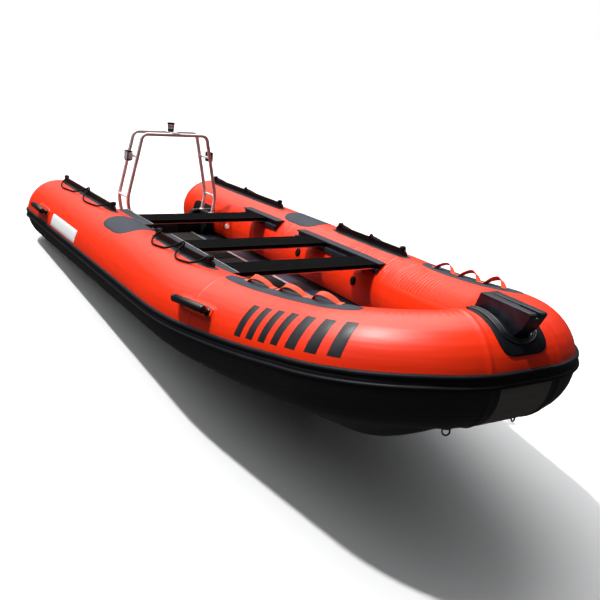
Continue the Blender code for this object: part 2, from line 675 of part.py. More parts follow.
def lacing_knots(name, start, end):
    """Points that a flap's lacing cord runs through, on the starboard side, from the aft knob to the fore one."""
    eye_x = (start + end) / 2
    first, _ = flap_frame(start + POST_INSET + KNOB_R + 2 * GAP, FLAP_HEIGHT + EYE_R)
    last, _ = flap_frame(end - POST_INSET - KNOB_R - 3 * GAP, FLAP_HEIGHT + EYE_R)
    eye, _ = flap_frame(eye_x, FLAP_HEIGHT + EYE_R)
    along = Vector((0.012, 0, 0))
    lie = CORD_R + 0.0045
    half = eye_x - start - POST_INSET
    # Share of the way between two posts, angle on the tube, and the cord's height over where it would lie
    loop = ((0.11, 86.0, 0.020), (0.20, 79.0, 0.002), (0.36, 75.0, 0.0), (0.56, 76.5, 0.0), (0.76, 81.0, 0.002),
            (0.90, 86.0, 0.020))
    route = [first, first + along]
    route += [on_tube(s_at_x(start + POST_INSET + half * t), a, lie + rise) for t, a, rise in loop]
    route += [eye - along, eye, eye + along]
    route += [on_tube(s_at_x(eye_x + half * t), a, lie + rise) for t, a, rise in loop]
    return route + [last - along, last]


def smooth_route(knots):
    """Points on a smooth curve through the knots, three cord diameters apart."""
    spans = [(b - a).length for a, b in zip(knots, knots[1:])]
    slopes = [(knots[1] - knots[0]) / spans[0]]
    for i in range(1, len(knots) - 1):
        before, after = (knots[i] - knots[i - 1]) / spans[i - 1], (knots[i + 1] - knots[i]) / spans[i]
        slopes.append((before * spans[i] + after * spans[i - 1]) / (spans[i - 1] + spans[i]))
    slopes.append((knots[-1] - knots[-2]) / spans[-1])
    dense = []
    for i, span in enumerate(spans):
        for t in np.linspace(0, 1, 12, endpoint=False):
            dense.append((2 * t ** 3 - 3 * t * t + 1) * knots[i] + (t ** 3 - 2 * t * t + t) * span * slopes[i]
                         + (3 * t * t - 2 * t ** 3) * knots[i + 1] + (t ** 3 - t * t) * span * slopes[i + 1])
    dense = np.array([*dense, knots[-1]])
    lengths = np.concatenate([[0], np.cumsum(np.linalg.norm(np.diff(dense, axis=0), axis=1))])
    spots = np.linspace(0, lengths[-1], round(lengths[-1] / (6 * CORD_R)) + 1)
    return [Vector([float(np.interp(s, lengths, dense[:, k])) for k in range(3)]) for s in spots]


def make_lacings(boat):
    """Black lacing cord of each flap, looped over the tube from knob to knob through the middle eye."""
    for name, start, end in FLAPS:
        for label, side in SIDES:
            route = smooth_route(mirrored(lacing_knots(name, start, end), side))
            boat.add(f"lacing_{name}_{label}", boat.pipe(route, CORD_R, 8), "black")


HANDLES = (("aft", -0.92, 14.0), ("middle", 1.745, 21.0))        # name, aft end and lower angle
HANDLE_LENGTH = 0.300
HANDLE_SPAN = 15.0
GRIP_R = 0.022
GRIP_LIFT = 0.050                 # grip's middle over the tube's skin
# Share of the grip's length and share of its radius
GRIP_SHAPE = ((0.0, 0.45), (0.03, 0.84), (0.08, 1.0), (0.92, 1.0), (0.97, 0.84), (1.0, 0.45))


def turned(first, last, radius, shape, sides):
    """A round solid about the line from first to last, whose radius follows shape."""
    axis = (last - first).normalized()
    across = axis.orthogonal().normalized()
    around = axis.cross(across)
    angles = [2 * math.pi * i / sides for i in range(sides)]
    return loft([[first.lerp(last, t) + radius * r * (math.cos(a) * across + math.sin(a) * around) for a in angles]
                 for t, r in shape])


def make_handles(boat):
    """Grab handles: a moulded base on the tube's outer side and a thick round grip on two posts."""
    post_r = 0.014
    for name, start, low in HANDLES:
        for label, side in SIDES:
            base = skin_patch(side, start, start + HANDLE_LENGTH, low, low + HANDLE_SPAN, 0.008, 0.0, 5.0, 9, 5.0)
            middle = low + HANDLE_SPAN / 2
            first, last = (on_tube(s_at_x(start + HANDLE_LENGTH * t), middle, GRIP_LIFT, side) for t in (0.03, 0.97))
            pieces = [base, turned(first, last, GRIP_R, GRIP_SHAPE, 10)]
            for t in (0.14, 0.86):
                foot = on_tube(s_at_x(start + HANDLE_LENGTH * t), middle, 0.004, side)
                top = first.lerp(last, t)
                pieces.append(drum((foot + top) / 2, top - foot, post_r, (top - foot).length, 8))
            boat.add(f"grab_handle_{name}_{label}", boat.join(pieces), "black")


STRAP_PATCH = (1.86, 2.80, 84.0, 102.0)
# Feet of each strap loop: aft X and fore X
STRAP_LOOPS = ((2.02, 2.20), (2.27, 2.45), (2.51, 2.67))


def make_straps(boat):
    """Bow hand straps: three loops of webbing over a long base patch on each side."""
    start, end, low, high = STRAP_PATCH
    width, thick, rise = 0.026, 0.003, 0.040
    for label, side in SIDES:
        pieces = [skin_patch(side, start, end, low, high, 0.003, 0.0, 5.0, 13, 6.0)]
        middle = (low + high) / 2
        for aft, fore in STRAP_LOOPS:
            rings = []
            for t in np.linspace(0.0, 1.0, 11):
                lift = 0.0026 + rise * math.sin(math.pi * t) ** 0.8
                s = s_at_x(aft + (fore - aft) * t)
                _, outward, _ = axis_frame(s)
                outward = Vector((outward.x, -side * outward.y, 0.0))
                slope = math.atan2(rise * math.pi * math.cos(math.pi * t) * 0.9, fore - aft)
                centre = on_skin(s, middle, lift, side)
                normal = on_skin(s, middle, lift + 1.0, side) - centre
                ahead = outward.cross(normal) * side
                over = (normal * math.cos(slope) - ahead * math.sin(slope)).normalized() * thick / 2
                rings.append([centre - outward * width / 2 - over, centre + outward * width / 2 - over,
                              centre + outward * width / 2 + over, centre - outward * width / 2 + over])
            pieces.append(loft(rings))
        boat.add(f"bow_strap_{label}", boat.join(pieces), "webbing")


def make_patches(boat):
    """Grey wear patches amidships and the blank white plates aft."""
    for label, side in SIDES:
        boat.add(f"wear_patch_{label}", skin_patch(side, 0.27, 0.70, 56.0, 121.0, 0.002, 0.0, 60.0, 5, 6.5), "grey")
        boat.add(f"blank_plate_{label}", skin_patch(side, -0.52, 0.08, 6.0, 27.0, 0.0015, 0.0, 60.0, 5, 5.25), "white")


def settle(boat):
    """Turns the boat to its attitude ashore, with the ground at Z = 0 under the middle of its box."""
    turn = Matrix.Rotation(-PITCH, 4, "Y")
    corners = np.array([turn @ vertex.co for part in boat.parts.objects for vertex in part.data.vertices])
    low, high = corners.min(axis=0), corners.max(axis=0)
    boat.attitude.rotation_euler = (0.0, -PITCH, 0.0)
    boat.attitude.location = (-(low[0] + high[0]) / 2, -(low[1] + high[1]) / 2, -low[2])


def main():
    """Builds the boat."""
    for old in list(bpy.data.objects):
        bpy.data.objects.remove(old)
    boat = Boat()
    for make in (make_tubes, make_strake, make_bottom, make_transom, make_deck, make_seats, make_rails, make_arch,
                 make_bow, make_flaps, make_lacings, make_handles, make_straps, make_patches):
        make(boat)
    settle(boat)


main()
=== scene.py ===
"""Looks of an inflatable rescue dinghy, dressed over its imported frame.

Pieces are drawn in the hull's level frame, with X forward, Y to port and Z up from the side tubes' axis, and
are then turned to the boat's attitude ashore. A place on a tube is its length along the axis and its angle:
0 degrees is the outer side, 90 the top and 180 the inner side.
"""

import json
import logging
import math
from dataclasses import dataclass, field
from enum import Enum
from functools import cached_property
from typing import Any, Callable, Sequence

import bmesh
import bpy
import numpy as np
from mathutils import Matrix, Vector


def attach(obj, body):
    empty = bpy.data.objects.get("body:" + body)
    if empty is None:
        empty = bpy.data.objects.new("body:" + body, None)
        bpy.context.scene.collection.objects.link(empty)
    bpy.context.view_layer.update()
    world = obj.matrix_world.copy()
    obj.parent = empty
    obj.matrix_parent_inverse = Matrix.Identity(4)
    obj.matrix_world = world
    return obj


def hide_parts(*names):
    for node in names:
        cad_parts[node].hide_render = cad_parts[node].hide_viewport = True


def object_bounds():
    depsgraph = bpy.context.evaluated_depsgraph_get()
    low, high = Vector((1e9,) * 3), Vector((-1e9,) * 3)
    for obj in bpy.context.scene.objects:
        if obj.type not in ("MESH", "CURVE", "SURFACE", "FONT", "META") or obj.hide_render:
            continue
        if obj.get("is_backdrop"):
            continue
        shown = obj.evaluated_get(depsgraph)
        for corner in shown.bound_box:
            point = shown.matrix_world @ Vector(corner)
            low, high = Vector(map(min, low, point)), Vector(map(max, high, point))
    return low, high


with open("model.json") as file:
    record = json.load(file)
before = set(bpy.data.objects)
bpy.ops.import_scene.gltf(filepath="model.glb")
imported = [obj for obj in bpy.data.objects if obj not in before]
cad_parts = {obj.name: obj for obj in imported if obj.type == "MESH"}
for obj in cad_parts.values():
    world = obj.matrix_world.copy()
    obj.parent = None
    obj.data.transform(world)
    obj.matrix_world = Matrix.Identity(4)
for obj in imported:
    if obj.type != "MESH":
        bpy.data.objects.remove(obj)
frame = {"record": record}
cad_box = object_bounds()
log = logging.getLogger("dinghy")

Colour = tuple[float, float, float]
Pairs = tuple[tuple[float, float], ...]
Places = tuple[tuple[str, float, float], ...]
Slot = int | Callable[[int, int], int]


class Side(Enum):
    """The boat's two sides and the sign of Y on each."""

    STARBOARD = -1
    PORT = 1

    def __str__(self) -> str:
        """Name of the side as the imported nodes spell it."""
        return self.name.lower()

    @property
    def flip(self) -> np.ndarray:
        """Factors that bring a starboard point to this side."""
        return np.array([1.0, -float(self.value), 1.0])


class End(Enum):
    """How a swept rod finishes."""

    FLAT = "flat"
    ROUND = "round"


# Lines and directions

def unit(vectors: np.ndarray) -> np.ndarray:
    """Vectors at length 1."""
    return vectors / np.maximum(np.linalg.norm(vectors, axis=-1, keepdims=True), 1e-12)


def run_lengths(points: np.ndarray) -> np.ndarray:
    """Length along a polyline at each of its points."""
    return np.concatenate([[0.0], np.cumsum(np.linalg.norm(np.diff(points, axis=0), axis=1))])


def bend(before: Any, here: Any, after: Any, cut: float, steps: int) -> list[np.ndarray]:
    """Points of a smooth bend that leaves and meets the two legs at a distance from their corner."""
    here = np.asarray(here, float)
    start, end = (here + unit(np.asarray(leg, float) - here) * cut for leg in (before, after))
    return [(1 - t) ** 2 * start + 2 * t * (1 - t) * here + t * t * end for t in np.linspace(0.0, 1.0, steps)]


def rounded_path(corners: Sequence[Sequence[float]], cut: float, steps: int) -> np.ndarray:
    """A polyline whose inner corners are rounded.

    Args:
        corners: its points.
        cut: how far from each corner the bend starts.
        steps: points on each bend.

    Returns:
        The rounded polyline.
    """
    path = [np.array(corners[0], float)]
    for before, here, after in zip(corners, corners[1:], corners[2:]):
        path += bend(before, here, after, cut, steps)
    return np.array([*path, np.array(corners[-1], float)])


def eased(t: float, span: float, start: Any, start_slope: Any, end: Any, end_slope: Any) -> Any:
    """Value a share t of the way along a span, for the values and slopes at its ends."""
    return ((2 * t ** 3 - 3 * t * t + 1) * start + (t ** 3 - 2 * t * t + t) * span * start_slope
            + (3 * t * t - 2 * t ** 3) * end + (t ** 3 - t * t) * span * end_slope)


def cut_corners(points: np.ndarray, rounds: int = 2, closed: bool = False) -> np.ndarray:
    """A polyline smoothed by cutting its corners again and again.

    Args:
        points: the polyline.
        rounds: how often its corners are cut.
        closed: whether its last point meets the first.

    Returns:
        The smoothed polyline.
    """
    points = np.asarray(points, float)
    for _ in range(rounds):
        following = np.roll(points, -1, axis=0) if closed else points[1:]
        here = points if closed else points[:-1]
        cut = np.stack([0.75 * here + 0.25 * following, 0.25 * here + 0.75 * following], axis=1)
        cut = cut.reshape(-1, points.shape[1])
        points = cut if closed else np.concatenate([points[:1], cut, points[-1:]])
    return points


def carried_frames(points: np.ndarray,
                   first: np.ndarray | None = None) -> tuple[np.ndarray, np.ndarray, np.ndarray]:
    """Directions along a path and two across it, carried along without twist.

    Args:
        points: the path.
        first: direction across it at its start.

    Returns:
        Directions ahead, across and over it at each point.
    """
    ahead = unit(np.gradient(points, axis=0))
    guide = np.array([0.0, 0.0, 1.0]) if first is None else np.asarray(first, float)
    if first is None and abs(ahead[0] @ guide) > 0.9:
        guide = np.array([1.0, 0.0, 0.0])
    across = []
    for tangent in ahead:
        guide = guide - tangent * (guide @ tangent)
        guide = guide / np.linalg.norm(guide)
        across.append(guide)
    across = np.array(across)
    return ahead, across, np.cross(ahead, across)


def spokes(axis: Any, turns: np.ndarray) -> tuple[np.ndarray, np.ndarray]:
    """An axis at length 1, and directions across it at each turn, in radians.

    Args:
        axis: the axis.
        turns: angles about it.

    Returns:
        The axis, and a direction for each turn.
    """
    axis = unit(np.asarray(axis, float))
    guide = np.eye(3)[0 if abs(axis[0]) < 0.9 else 2]
    first = unit(guide - axis * (guide @ axis))
    return axis, np.cos(turns)[:, None] * first + np.sin(turns)[:, None] * np.cross(axis, first)


def oval(count: int, power: float) -> np.ndarray:
    """Shares from -1 to 1 along a rounded patch, close together at its ends."""
    turn = np.sin(np.radians(np.linspace(-90.0, 90.0, count)))
    return np.sign(turn) * np.abs(turn) ** (2.0 / power)


def oval_width(share: np.ndarray, power: float) -> np.ndarray:
    """Width of a rounded patch at each share of its length."""
    return np.clip(1.0 - np.abs(share) ** power, 0.0, None) ** (1.0 / power)


def sloped_rim(share: np.ndarray, width: np.ndarray, length: float, rim: float,
               count: int) -> tuple[np.ndarray, np.ndarray]:
    """Grid of a patch with a sloping rim.

    Args:
        share: places along it, from -1 to 1.
        width: its half width at each, in metres.
        length: its half length in metres.
        rim: the rim's width.
        count: points across it, inside the rim.

    Returns:
        Places across it from -1 to 1, and the share of the thickness that stands at each.
    """
    edge = np.clip(rim / np.maximum(width, 1e-6), 0.0, 0.45)[:, None]
    inner = np.linspace(-1.0, 1.0, count)[None]
    columns = np.concatenate([-np.ones_like(edge), inner * (1.0 - edge), np.ones_like(edge)], axis=1)
    tip = np.clip((1.0 - np.abs(share)) * length / rim, 0.0, 1.0)[:, None]
    return columns, np.pad(np.ones((len(share), count)), ((0, 0), (1, 1))) * tip


# The hull's form

@dataclass(frozen=True)
class HullForm:
    """Form of the inflated tubes: a straight side, rounded plan corners and a rise towards the bow."""

    tube_r: float = 0.25
    tube_y: float = 0.684
    stern_x: float = -1.19
    dome: float = 0.24
    bow_sheer: float = 0.153
    sheer_start_x: float = 1.34
    sheer_power: float = 2.18
    corners: tuple[tuple[float, float, float], ...] = (
        (1.6, 0.684, 0.2), (2.83, 0.4865, 0.272), (3.066, 0.193, 0.1))
    seam_y: float = 0.15
    slope: float = 0.128
    deck_mount: Colour = (0.5814, 0.0, -0.077)

    @property
    def bow_x(self) -> float:
        """X of the bow tube's axis."""
        return self.corners[-1][0]

    @cached_property
    def plan(self) -> np.ndarray:
        """Rows of X, Y and length along the starboard axis, close together."""
        knots = [(self.stern_x, -self.tube_y), *((x, -y) for x, y, _ in self.corners), (self.bow_x, 0.0)]
        line = [np.array(knots[0])]
        for before, here, after, (_, _, cut) in zip(knots, knots[1:], knots[2:], self.corners):
            line += bend(before, here, after, cut, 40)
        line.append(np.array(knots[-1]))
        fine = [np.linspace(a, b, 12, endpoint=False) for a, b in zip(line, line[1:])]
        points = np.concatenate([*fine, [line[-1]]])
        return np.column_stack([points, run_lengths(points)])

    @property
    def end(self) -> float:
        """Length along the axis at the middle of the bow."""
        return float(self.plan[-1, 2])

    @cached_property
    def seam(self) -> float:
        """Length along the axis where a side tube meets the bow tube."""
        return self.s_at_y(self.seam_y)

    def s_at_x(self, x: float) -> float:
        """Length along the axis at which it passes X."""
        return float(np.interp(x, self.plan[:, 0], self.plan[:, 2])) + min(x - self.stern_x, 0.0)

    def span(self, aft: float, fore: float) -> tuple[float, float]:
        """Lengths along the axis at two places along X."""
        return self.s_at_x(aft), self.s_at_x(fore)

    def s_at_y(self, y: float) -> float:
        """Length along the axis at which the bow's axis is Y from the centreline."""
        return float(np.interp(-y, self.plan[:, 1], self.plan[:, 2]))

    def centre(self, s: Any) -> np.ndarray:
        """Points of the starboard axis; aft of the stern it runs straight on."""
        s = np.asarray(s, dtype=float)
        x = np.interp(s, self.plan[:, 2], self.plan[:, 0]) + np.minimum(s, 0.0)
        y = np.interp(s, self.plan[:, 2], self.plan[:, 1])
        run = np.clip((x - self.sheer_start_x) / (self.bow_x - self.sheer_start_x), 0.0, None)
        return np.stack([x, y, self.bow_sheer * run ** self.sheer_power], axis=-1)

    def section(self, s: Any) -> tuple[np.ndarray, np.ndarray, np.ndarray]:
        """Centre, outward and upward directions of the starboard tube's section at each length.

        Args:
            s: lengths along the axis, in metres.

        Returns:
            The three rows of points and directions.
        """
        s = np.asarray(s, dtype=float)
        ahead = unit(self.centre(np.minimum(s + 0.01, self.end)) - self.centre(s - 0.01))
        ahead = np.where((s > self.end - 1e-6)[..., None], np.array([0.0, 1.0, 0.0]), ahead)
        outward = unit(np.cross(ahead, np.array([0.0, 0.0, 1.0])))
        return self.centre(s), outward, np.cross(outward, ahead)

    def radius(self, s: Any) -> np.ndarray:
        """Tube's radius, which closes over the stern dome."""
        share = np.clip(-np.asarray(s, dtype=float) / self.dome, 0.0, 1.0)
        return self.tube_r * np.sqrt(1.0 - share * share)

    def on_tube(self, s: Any, angle: Any, lift: Any = 0.0, side: Side = Side.STARBOARD) -> np.ndarray:
        """Points over a tube's skin.

        Args:
            s: lengths along the axis, in metres.
            angle: angles on the section, in degrees.
            lift: heights over the skin.
            side: which tube.

        Returns:
            Points in the hull's frame, one for each of the values broadcast together.
        """
        s, angle, lift = np.broadcast_arrays(np.asarray(s, float), np.asarray(angle, float),
                                             np.asarray(lift, float))
        centre, outward, up = self.section(s)
        turn = np.radians(angle)[..., None]
        reach = (self.radius(s) + lift)[..., None]
        points = centre + reach * (np.cos(turn) * outward + np.sin(turn) * up)
        return points * side.flip

    def at(self, x: float, angle: Any, lift: Any = 0.0, side: Side = Side.STARBOARD) -> np.ndarray:
        """Points over a tube's skin at X."""
        return self.on_tube(self.s_at_x(x), angle, lift, side)

    def uv(self, s: np.ndarray, angle: np.ndarray) -> np.ndarray:
        """Metres along and round a tube."""
        return np.stack([s, np.radians(angle) * self.tube_r], axis=-1)

    def bow_arc(self, angle: Any, y: Any, lift: Any = 0.0) -> np.ndarray:
        """Points over the bow tube's skin at Y, by their angle from straight ahead.

        Args:
            angle: angles on its section, in degrees.
            y: distances to port.
            lift: heights over the skin.

        Returns:
            Points in the hull's frame.
        """
        angle, y, lift = np.broadcast_arrays(np.asarray(angle, float), np.asarray(y, float),
                                             np.asarray(lift, float))
        turn = np.radians(angle)
        reach = self.tube_r + lift
        points = [self.bow_x + reach * np.cos(turn), y, self.bow_sheer + reach * np.sin(turn)]
        return np.stack(points, axis=-1)

    def strake_angle(self, s: Any) -> np.ndarray:
        """Angle of the rub strake's middle, which climbs a little towards the bow."""
        ramp = np.clip((self.centre(s)[..., 0] - 1.2) / (self.bow_x - 1.2), 0.0, 1.0)
        return -3.2 + 12.2 * ramp ** 1.7

    @cached_property
    def attitude(self) -> Matrix:
        """Turn and shift from the hull's level frame to the boat ashore."""
        turn = Matrix.Rotation(-math.atan(self.slope), 4, "Y")
        mount = next(m for m in frame["record"]["mounts"] if m["name"] == "deck_middle")
        return Matrix.Translation(Vector(mount["pos_m"]) - turn @ Vector(self.deck_mount)) @ turn

    def ashore(self, points: np.ndarray) -> np.ndarray:
        """Points of the level frame, in the row's frame."""
        matrix = np.array(self.attitude)
        return np.asarray(points) @ matrix[:3, :3].T + matrix[:3, 3]


# Node trees

class NodeBook:
    """A node tree that is filled through one method."""

    def __init__(self, tree: bpy.types.NodeTree) -> None:
        """Takes the tree to fill."""
        self.tree = tree

    def fill(self, target: bpy.types.Node, values: dict[Any, Any]) -> None:
        """Sets or links a node's inputs, by name or number.

        Args:
            target: the node.
            values: constants or wires, by the input's name or number.
        """
        for key, value in values.items():
            socket = target.inputs[key]
            if isinstance(value, Wire):
                self.tree.links.new(value.socket, socket)
            elif isinstance(value, tuple) and len(value) == 3 and socket.type == "RGBA":
                socket.default_value = (*value, 1.0)
            elif value is not None:
                socket.default_value = value

    def node(self, kind: str, settings: dict[str, Any] | None = None,
             values: dict[Any, Any] | None = None) -> bpy.types.Node:
        """Adds a node.

        Args:
            kind: the node's type.
            settings: its properties, set first.
            values: constants or wires for its inputs, by name or number.

        Returns:
            The new node.
        """
        made = self.tree.nodes.new(kind)
        for key, value in (settings or {}).items():
            setattr(made, key, value)
        self.fill(made, values or {})
        return made

    def wire(self, kind: str, settings: dict[str, Any] | None = None, values: dict[Any, Any] | None = None,
             output: int | str = 0) -> "Wire":
        """Adds a node and gives one of its outputs."""
        return Wire(self, self.node(kind, settings, values).outputs[output])

    def split(self, vector: "Wire") -> tuple["Wire", ...]:
        """The three numbers of a vector."""
        made = self.node("ShaderNodeSeparateXYZ", None, {0: vector})
        return tuple(Wire(self, output) for output in made.outputs)


def joined(operation: str, swapped: bool = False) -> Callable[..., "Wire"]:
    """An operator of wires that stands for one node of numbers.

    Args:
        operation: what the node does.
        swapped: whether the wire comes second.

    Returns:
        The operator.
    """

    def method(self: "Wire", other: Any = None) -> "Wire":
        """Joins the wire with another value."""
        first, second = (other, self) if swapped else (self, other)
        return self.book.wire("ShaderNodeMath", {"operation": operation}, {0: first, 1: second})

    return method


class Wire:
    """An output that takes part in Python expressions."""

    def __init__(self, book: NodeBook, socket: bpy.types.NodeSocket) -> None:
        """Wraps a socket of a tree."""
        self.book = book
        self.socket = socket

    __add__ = __radd__ = joined("ADD")
    __sub__ = joined("SUBTRACT")
    __rsub__ = joined("SUBTRACT", swapped=True)
    __mul__ = __rmul__ = joined("MULTIPLY")
    __truediv__ = joined("DIVIDE")
    __pow__ = joined("POWER")
    sine = joined("SINE")
    size = joined("ABSOLUTE")
    most = joined("MAXIMUM")

    def ramp(self, low: float, high: float) -> "Wire":
        """Smooth step from 0 at low to 1 at high."""
        return self.book.wire("ShaderNodeMapRange", {"interpolation_type": "SMOOTHSTEP"},
                              {"Value": self, "From Min": low, "From Max": high})

    def band(self, low: float, high: float, soft: float) -> "Wire":
        """1 between low and high, with soft ends."""
        return self.ramp(low - soft, low + soft) * (1.0 - self.ramp(high - soft, high + soft))

    def waves(self, pitch: float, shift: Any = 0.0) -> "Wire":
        """Waves from 0 to 1, shifted by an angle in radians."""
        return (self * (math.tau / pitch) + shift).sine() * 0.5 + 0.5


class Recipe(NodeBook):
    """Node tree of one material with a Principled shader."""

    def __init__(self, name: str) -> None:
        """Makes the material."""
        self.material = bpy.data.materials.new(name)
        self.material.use_nodes = True
        super().__init__(self.material.node_tree)
        self.shader = self.tree.nodes["Principled BSDF"]

    def place(self, scale: Colour = (1.0, 1.0, 1.0), source: str = "Object") -> Wire:
        """Object coordinates, stretched."""
        vector = self.wire("ShaderNodeTexCoord", output=source)
        return self.wire("ShaderNodeMapping", None, {"Vector": vector, "Scale": scale})

    def surface(self, scale: Colour = (1.0, 1.0, 1.0)) -> Wire:
        """The piece's own UV map in metres, stretched."""
        return self.place(scale, "UV")

    def noise(self, place: Wire, scale: float, detail: float = 3.0, roughness: float = 0.55) -> Wire:
        """Cloudy noise from 0 to 1."""
        return self.wire("ShaderNodeTexNoise", None,
                         {"Vector": place, "Scale": scale, "Detail": detail, "Roughness": roughness})

    def cells(self, place: Wire, scale: float) -> Wire:
        """Distance to the nearest of scattered points."""
        return self.wire("ShaderNodeTexVoronoi", None, {"Vector": place, "Scale": scale}, "Distance")

    def blend(self, share: Wire, first: Wire | Colour, second: Wire | Colour) -> Wire:
        """Colour between two others."""
        return self.wire("ShaderNodeMix", {"data_type": "RGBA"}, {0: share, 6: first, 7: second}, 2)

    def relief(self, height: Wire) -> None:
        """Bump of the surface by a height in metres."""
        bump = self.wire("ShaderNodeBump", None, {"Height": height, "Distance": 1.0, "Strength": 1.0})
        self.fill(self.shader, {"Normal": bump})

    def coat(self, colour: Wire | Colour, roughness: Wire | float, gloss: float = 0.5,
             others: dict[str, Any] | None = None) -> None:
        """Sets or links the shader's sockets; gloss is how much it mirrors."""
        self.fill(self.shader, {"Base Color": colour, "Roughness": roughness, "Specular IOR Level": gloss,
                                **(others or {})})


# Finishes

@dataclass(frozen=True)
class Finish:
    """A finish with its name; each kind lays its own nodes."""

    name: str

    def lay(self, recipe: Recipe) -> None:
        """Fills the recipe."""

    def material(self) -> bpy.types.Material:
        """The finish's material, made once."""
        found = bpy.data.materials.get(self.name)
        if found:
            return found
        recipe = Recipe(self.name)
        self.lay(recipe)
        return recipe.material


@dataclass(frozen=True)
class Crease:
    """A field of creases: metres along and across from and to, spacing and depth in metres."""

    along: tuple[float, float]
    across: tuple[float, float]
    pitch: float
    depth: float


@dataclass(frozen=True)
class CoatedFabric(Finish):
    """Inflated fabric coated in soft plastic, with slight pulls, creases, scuffs and grime."""

    colour: Colour
    deep: Colour
    scuff: Colour
    roughness: float = 0.42
    grain: float = 0.00012
    gloss: float = 0.5
    creases: tuple[Crease, ...] = ()
    streak: float = 0.0

    def lay(self, recipe: Recipe) -> None:
        """Colour clouds, grime specks, pulls along the cloth and a fine grain."""
        place = recipe.place()
        cloud = recipe.noise(place, 2.2, 4.0)
        colour = recipe.blend(cloud.ramp(0.35, 0.75) * 0.55, self.colour, self.deep)
        rub = recipe.noise(recipe.surface((3.0, 26.0, 1.0)), 2.4, 5.0, 0.65).ramp(0.66, 0.84)
        colour = recipe.blend(rub * 0.3, colour, self.scuff)
        patchy = recipe.noise(place, 1.6, 1.0).ramp(0.52, 0.66)
        specks = (1.0 - recipe.cells(place, 120.0).ramp(0.1, 0.22)) * patchy
        colour = recipe.blend(specks * 0.35, colour, tuple(c * 0.35 for c in self.colour))
        pull = recipe.noise(recipe.surface((1.2, 9.0, 1.0)), 1.6, 2.0)
        height = pull * 0.0032 + recipe.noise(place, 420.0, 2.0) * self.grain
        if self.streak:
            height = height + recipe.noise(recipe.surface((1.0, 34.0, 1.0)), 2.6, 3.0) * self.streak
        along, across, _ = recipe.split(recipe.surface())
        wander = recipe.noise(place, 7.0, 2.0)
        for crease in self.creases:
            wave = along.waves(crease.pitch, wander * 16.0)
            soft = 0.25 * (crease.along[1] - crease.along[0])
            mask = along.band(*crease.along, soft) * across.band(*crease.across, 0.05)
            height = height + wave ** 1.6 * mask * wander.ramp(0.3, 0.7) * crease.depth
        recipe.relief(height)
        recipe.coat(colour, self.roughness + cloud * 0.1 - rub * 0.05, self.gloss)


@dataclass(frozen=True)
class Rubber(Finish):
    """Moulded or extruded rubber and hard black plastic, with a paler second colour in clouds and scratches:
    dust on most, painted sheen on the chock.
    """

    colour: Colour
    dust: Colour
    roughness: float = 0.38
    gloss: float = 0.25
    grain: float = 0.00025

    def lay(self, recipe: Recipe) -> None:
        """Clouds and scratches of the paler colour, and a fine grain."""
        place = recipe.place()
        cloud = recipe.noise(place, 9.0, 5.0, 0.6)
        scratch = recipe.noise(recipe.place((1.0, 30.0, 30.0)), 6.0, 4.0, 0.7).ramp(0.62, 0.8)
        # The paler colour is dust, and on the chock it is painted sheen
        colour = recipe.blend(cloud.ramp(0.45, 0.85) * 0.5 + scratch * 0.2, self.colour, self.dust)
        height = recipe.noise(place, 260.0) * self.grain
        height = height + recipe.noise(place, 18.0, 2.0) * 0.0006
        recipe.relief(height)
        recipe.coat(colour, self.roughness + cloud * 0.14 + scratch * 0.08, self.gloss)


@dataclass(frozen=True)
class RibbedRubber(Finish):
    """Rubber sheet with fine ribs along it, its high edges worn pale."""

    colour: Colour
    worn: Colour
    pitch: float = 0.006
    rise: float = 0.0006
    roughness: float = 0.58

    def lay(self, recipe: Recipe) -> None:
        """Ribs across the UV map, broken by short cross cuts, and cloudy wear."""
        along, across, _ = recipe.split(recipe.surface())
        rib = across.waves(self.pitch)
        cut = along.waves(self.pitch * 2.5) ** 6
        place = recipe.place()
        cloud = recipe.noise(place, 12.0, 5.0, 0.65)
        height = rib ** 0.7 * (1.0 - cut * 0.7)
        colour = recipe.blend(cloud.ramp(0.3, 0.8) * 0.45 + height * 0.35, self.colour, self.worn)
        recipe.relief(height * self.rise + recipe.noise(place, 300.0) * 0.0002)
        recipe.coat(colour, self.roughness + cloud * 0.12, 0.25)


@dataclass(frozen=True)
class Grit(Finish):
    """Non-slip board surface: dark coat with scattered grit and scuffs along it."""

    colour: Colour
    scuff: Colour
    roughness: float = 0.72
    grit: float = 0.0006
    gloss: float = 0.1

    def lay(self, recipe: Recipe) -> None:
        """Grit cells and long scuffs."""
        place = recipe.place()
        cells = 1.0 - recipe.cells(place, 340.0).ramp(0.15, 0.6)
        cloud = recipe.noise(place, 6.0, 5.0, 0.6)
        long = recipe.noise(recipe.place((2.0, 22.0, 22.0)), 3.0, 4.0).ramp(0.55, 0.8)
        share = cloud.ramp(0.4, 0.85) * 0.35 + long * 0.3 + cells * 0.18
        colour = recipe.blend(share, self.colour, self.scuff)
        recipe.relief(cells * self.grit + cloud * 0.0004)
        recipe.coat(colour, self.roughness + cells * 0.1 - long * 0.08, self.gloss)


@dataclass(frozen=True)
class Metal(Finish):
    """Bare metal: polished tube, brushed plate or anodised extrusion."""

    colour: Colour
    roughness: float = 0.16
    brush: float = 0.00004
    haze: float = 0.18
    metallic: float = 1.0

    def lay(self, recipe: Recipe) -> None:
        """Draw lines along the piece, water marks and a few dull spots."""
        line = recipe.noise(recipe.surface((4.0, 900.0, 1.0)), 1.0, 3.0)
        place = recipe.place()
        marks = recipe.noise(place, 26.0, 5.0, 0.7).ramp(0.5, 0.75)
        colour = recipe.blend(marks * 0.4, self.colour, tuple(c * 0.72 for c in self.colour))
        recipe.relief(line * self.brush)
        recipe.coat(colour, self.roughness + marks * self.haze, others={"Metallic": self.metallic})


